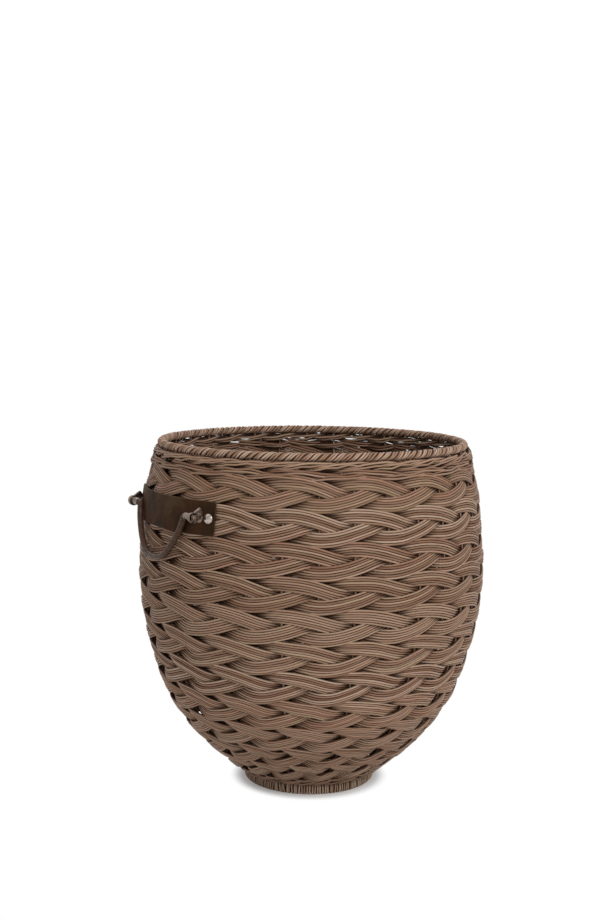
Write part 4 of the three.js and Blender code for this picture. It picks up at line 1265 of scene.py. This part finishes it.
# %% [markdown]
# The light is a plain studio: a wide soft lamp from the upper right, a weaker one from behind on the left,
# and a white world that fills the shadows. The floor is white for the camera, and for glossy and see-through
# rays, through Light Path. Only close round the foot does its plain surface show the object's soft shadow.

# %% Light and floor
# each lamp: its name, its place, the point that it faces, its width in metres and its power in watts
LAMPS = [
    ("key", (-0.15, -2.4, 2.2), (0, 0, 0.25), 1.3, 61),
    ("back", (0.3, 1.9, 2.2), (0, 0, 0.3), 1.6, 16),
]
WORLD_STRENGTH = 0.61
FLOOR_REACH = 12.0  # metres
SHADOW_INNER = 86 * MM
SHADOW_OUTER = 107 * MM
SHADOW_WHITE = 0.2  # how white the floor is made beside the foot, from 0 to 1


def add_area(name, place, aim, size, power):
    """A square lamp whose -Z looks at a point."""
    lamp = bpy.data.objects.new(name, bpy.data.lights.new(name, "AREA"))
    lamp.data.size = size
    lamp.data.energy = power
    lamp.location = place
    lamp.rotation_euler = (Vector(aim) - Vector(place)).to_track_quat("-Z", "Y").to_euler()
    bpy.context.scene.collection.objects.link(lamp)


def add_world(strength):
    """White at full strength for what the camera and reflections see, and at the given one as light."""
    world = bpy.data.worlds.new("studio")
    world.use_nodes = True
    nodes, links = world.node_tree.nodes, world.node_tree.links
    background = nodes["Background"]
    background.inputs["Color"].default_value = (1, 1, 1, 1)
    path = nodes.new("ShaderNodeLightPath")
    seen = nodes.new("ShaderNodeMath")
    seen.operation = "ADD"
    seen.use_clamp = True
    links.new(path.outputs["Is Camera Ray"], seen.inputs[0])
    links.new(path.outputs["Is Glossy Ray"], seen.inputs[1])
    level = nodes.new("ShaderNodeMapRange")
    links.new(seen.outputs[0], level.inputs["Value"])
    level.inputs["To Min"].default_value = strength
    level.inputs["To Max"].default_value = 1.0
    links.new(level.outputs[0], background.inputs["Strength"])
    bpy.context.scene.world = world


def add_floor():
    """A square of the floor, whose white glow fades towards the foot by the distance from the middle."""
    mesh = bpy.data.meshes.new("floor")
    corners = [(x * FLOOR_REACH, y * FLOOR_REACH, 0) for x, y in ((-1, -1), (1, -1), (1, 1), (-1, 1))]
    mesh.from_pydata(corners, [], [(0, 1, 2, 3)])
    tree = Tree("floor", base_color=(0.92, 0.92, 0.92, 1), roughness=0.95, specular_ior_level=0.1)
    path = tree.nodes.new("ShaderNodeLightPath")
    seen = Wire(tree, path.outputs["Is Camera Ray"]) + Wire(tree, path.outputs["Is Glossy Ray"])
    seen = seen + Wire(tree, path.outputs["Is Transmission Ray"])
    glow = tree.node("ShaderNodeEmission", None, {"Color": (1, 1, 1, 1), "Strength": 1.0})
    shown = tree.nodes.new("ShaderNodeMixShader")
    output = tree.nodes["Material Output"]
    place = tree.node("ShaderNodeTexCoord", output=3)
    from_middle = tree.node("ShaderNodeVectorMath", {"operation": "LENGTH"}, {0: place}, output=1)
    white = from_middle.smooth(SHADOW_INNER, SHADOW_OUTER) * (1 - SHADOW_WHITE) + SHADOW_WHITE
    tree.links.new((seen * white).socket, shown.inputs[0])
    tree.links.new(tree.shader.outputs[0], shown.inputs[1])
    tree.links.new(glow.socket, shown.inputs[2])
    tree.links.new(shown.outputs[0], output.inputs["Surface"])
    mesh.materials.append(tree.material)
    floor = bpy.data.objects.new("floor", mesh)
    bpy.context.scene.collection.objects.link(floor)


for lamp in LAMPS:
    add_area(*lamp)
add_world(WORLD_STRENGTH)
add_floor()
bpy.context.scene.view_settings.view_transform = "Standard"
print("lamps:", [lamp[0] for lamp in LAMPS], "and a world of strength", WORLD_STRENGTH)
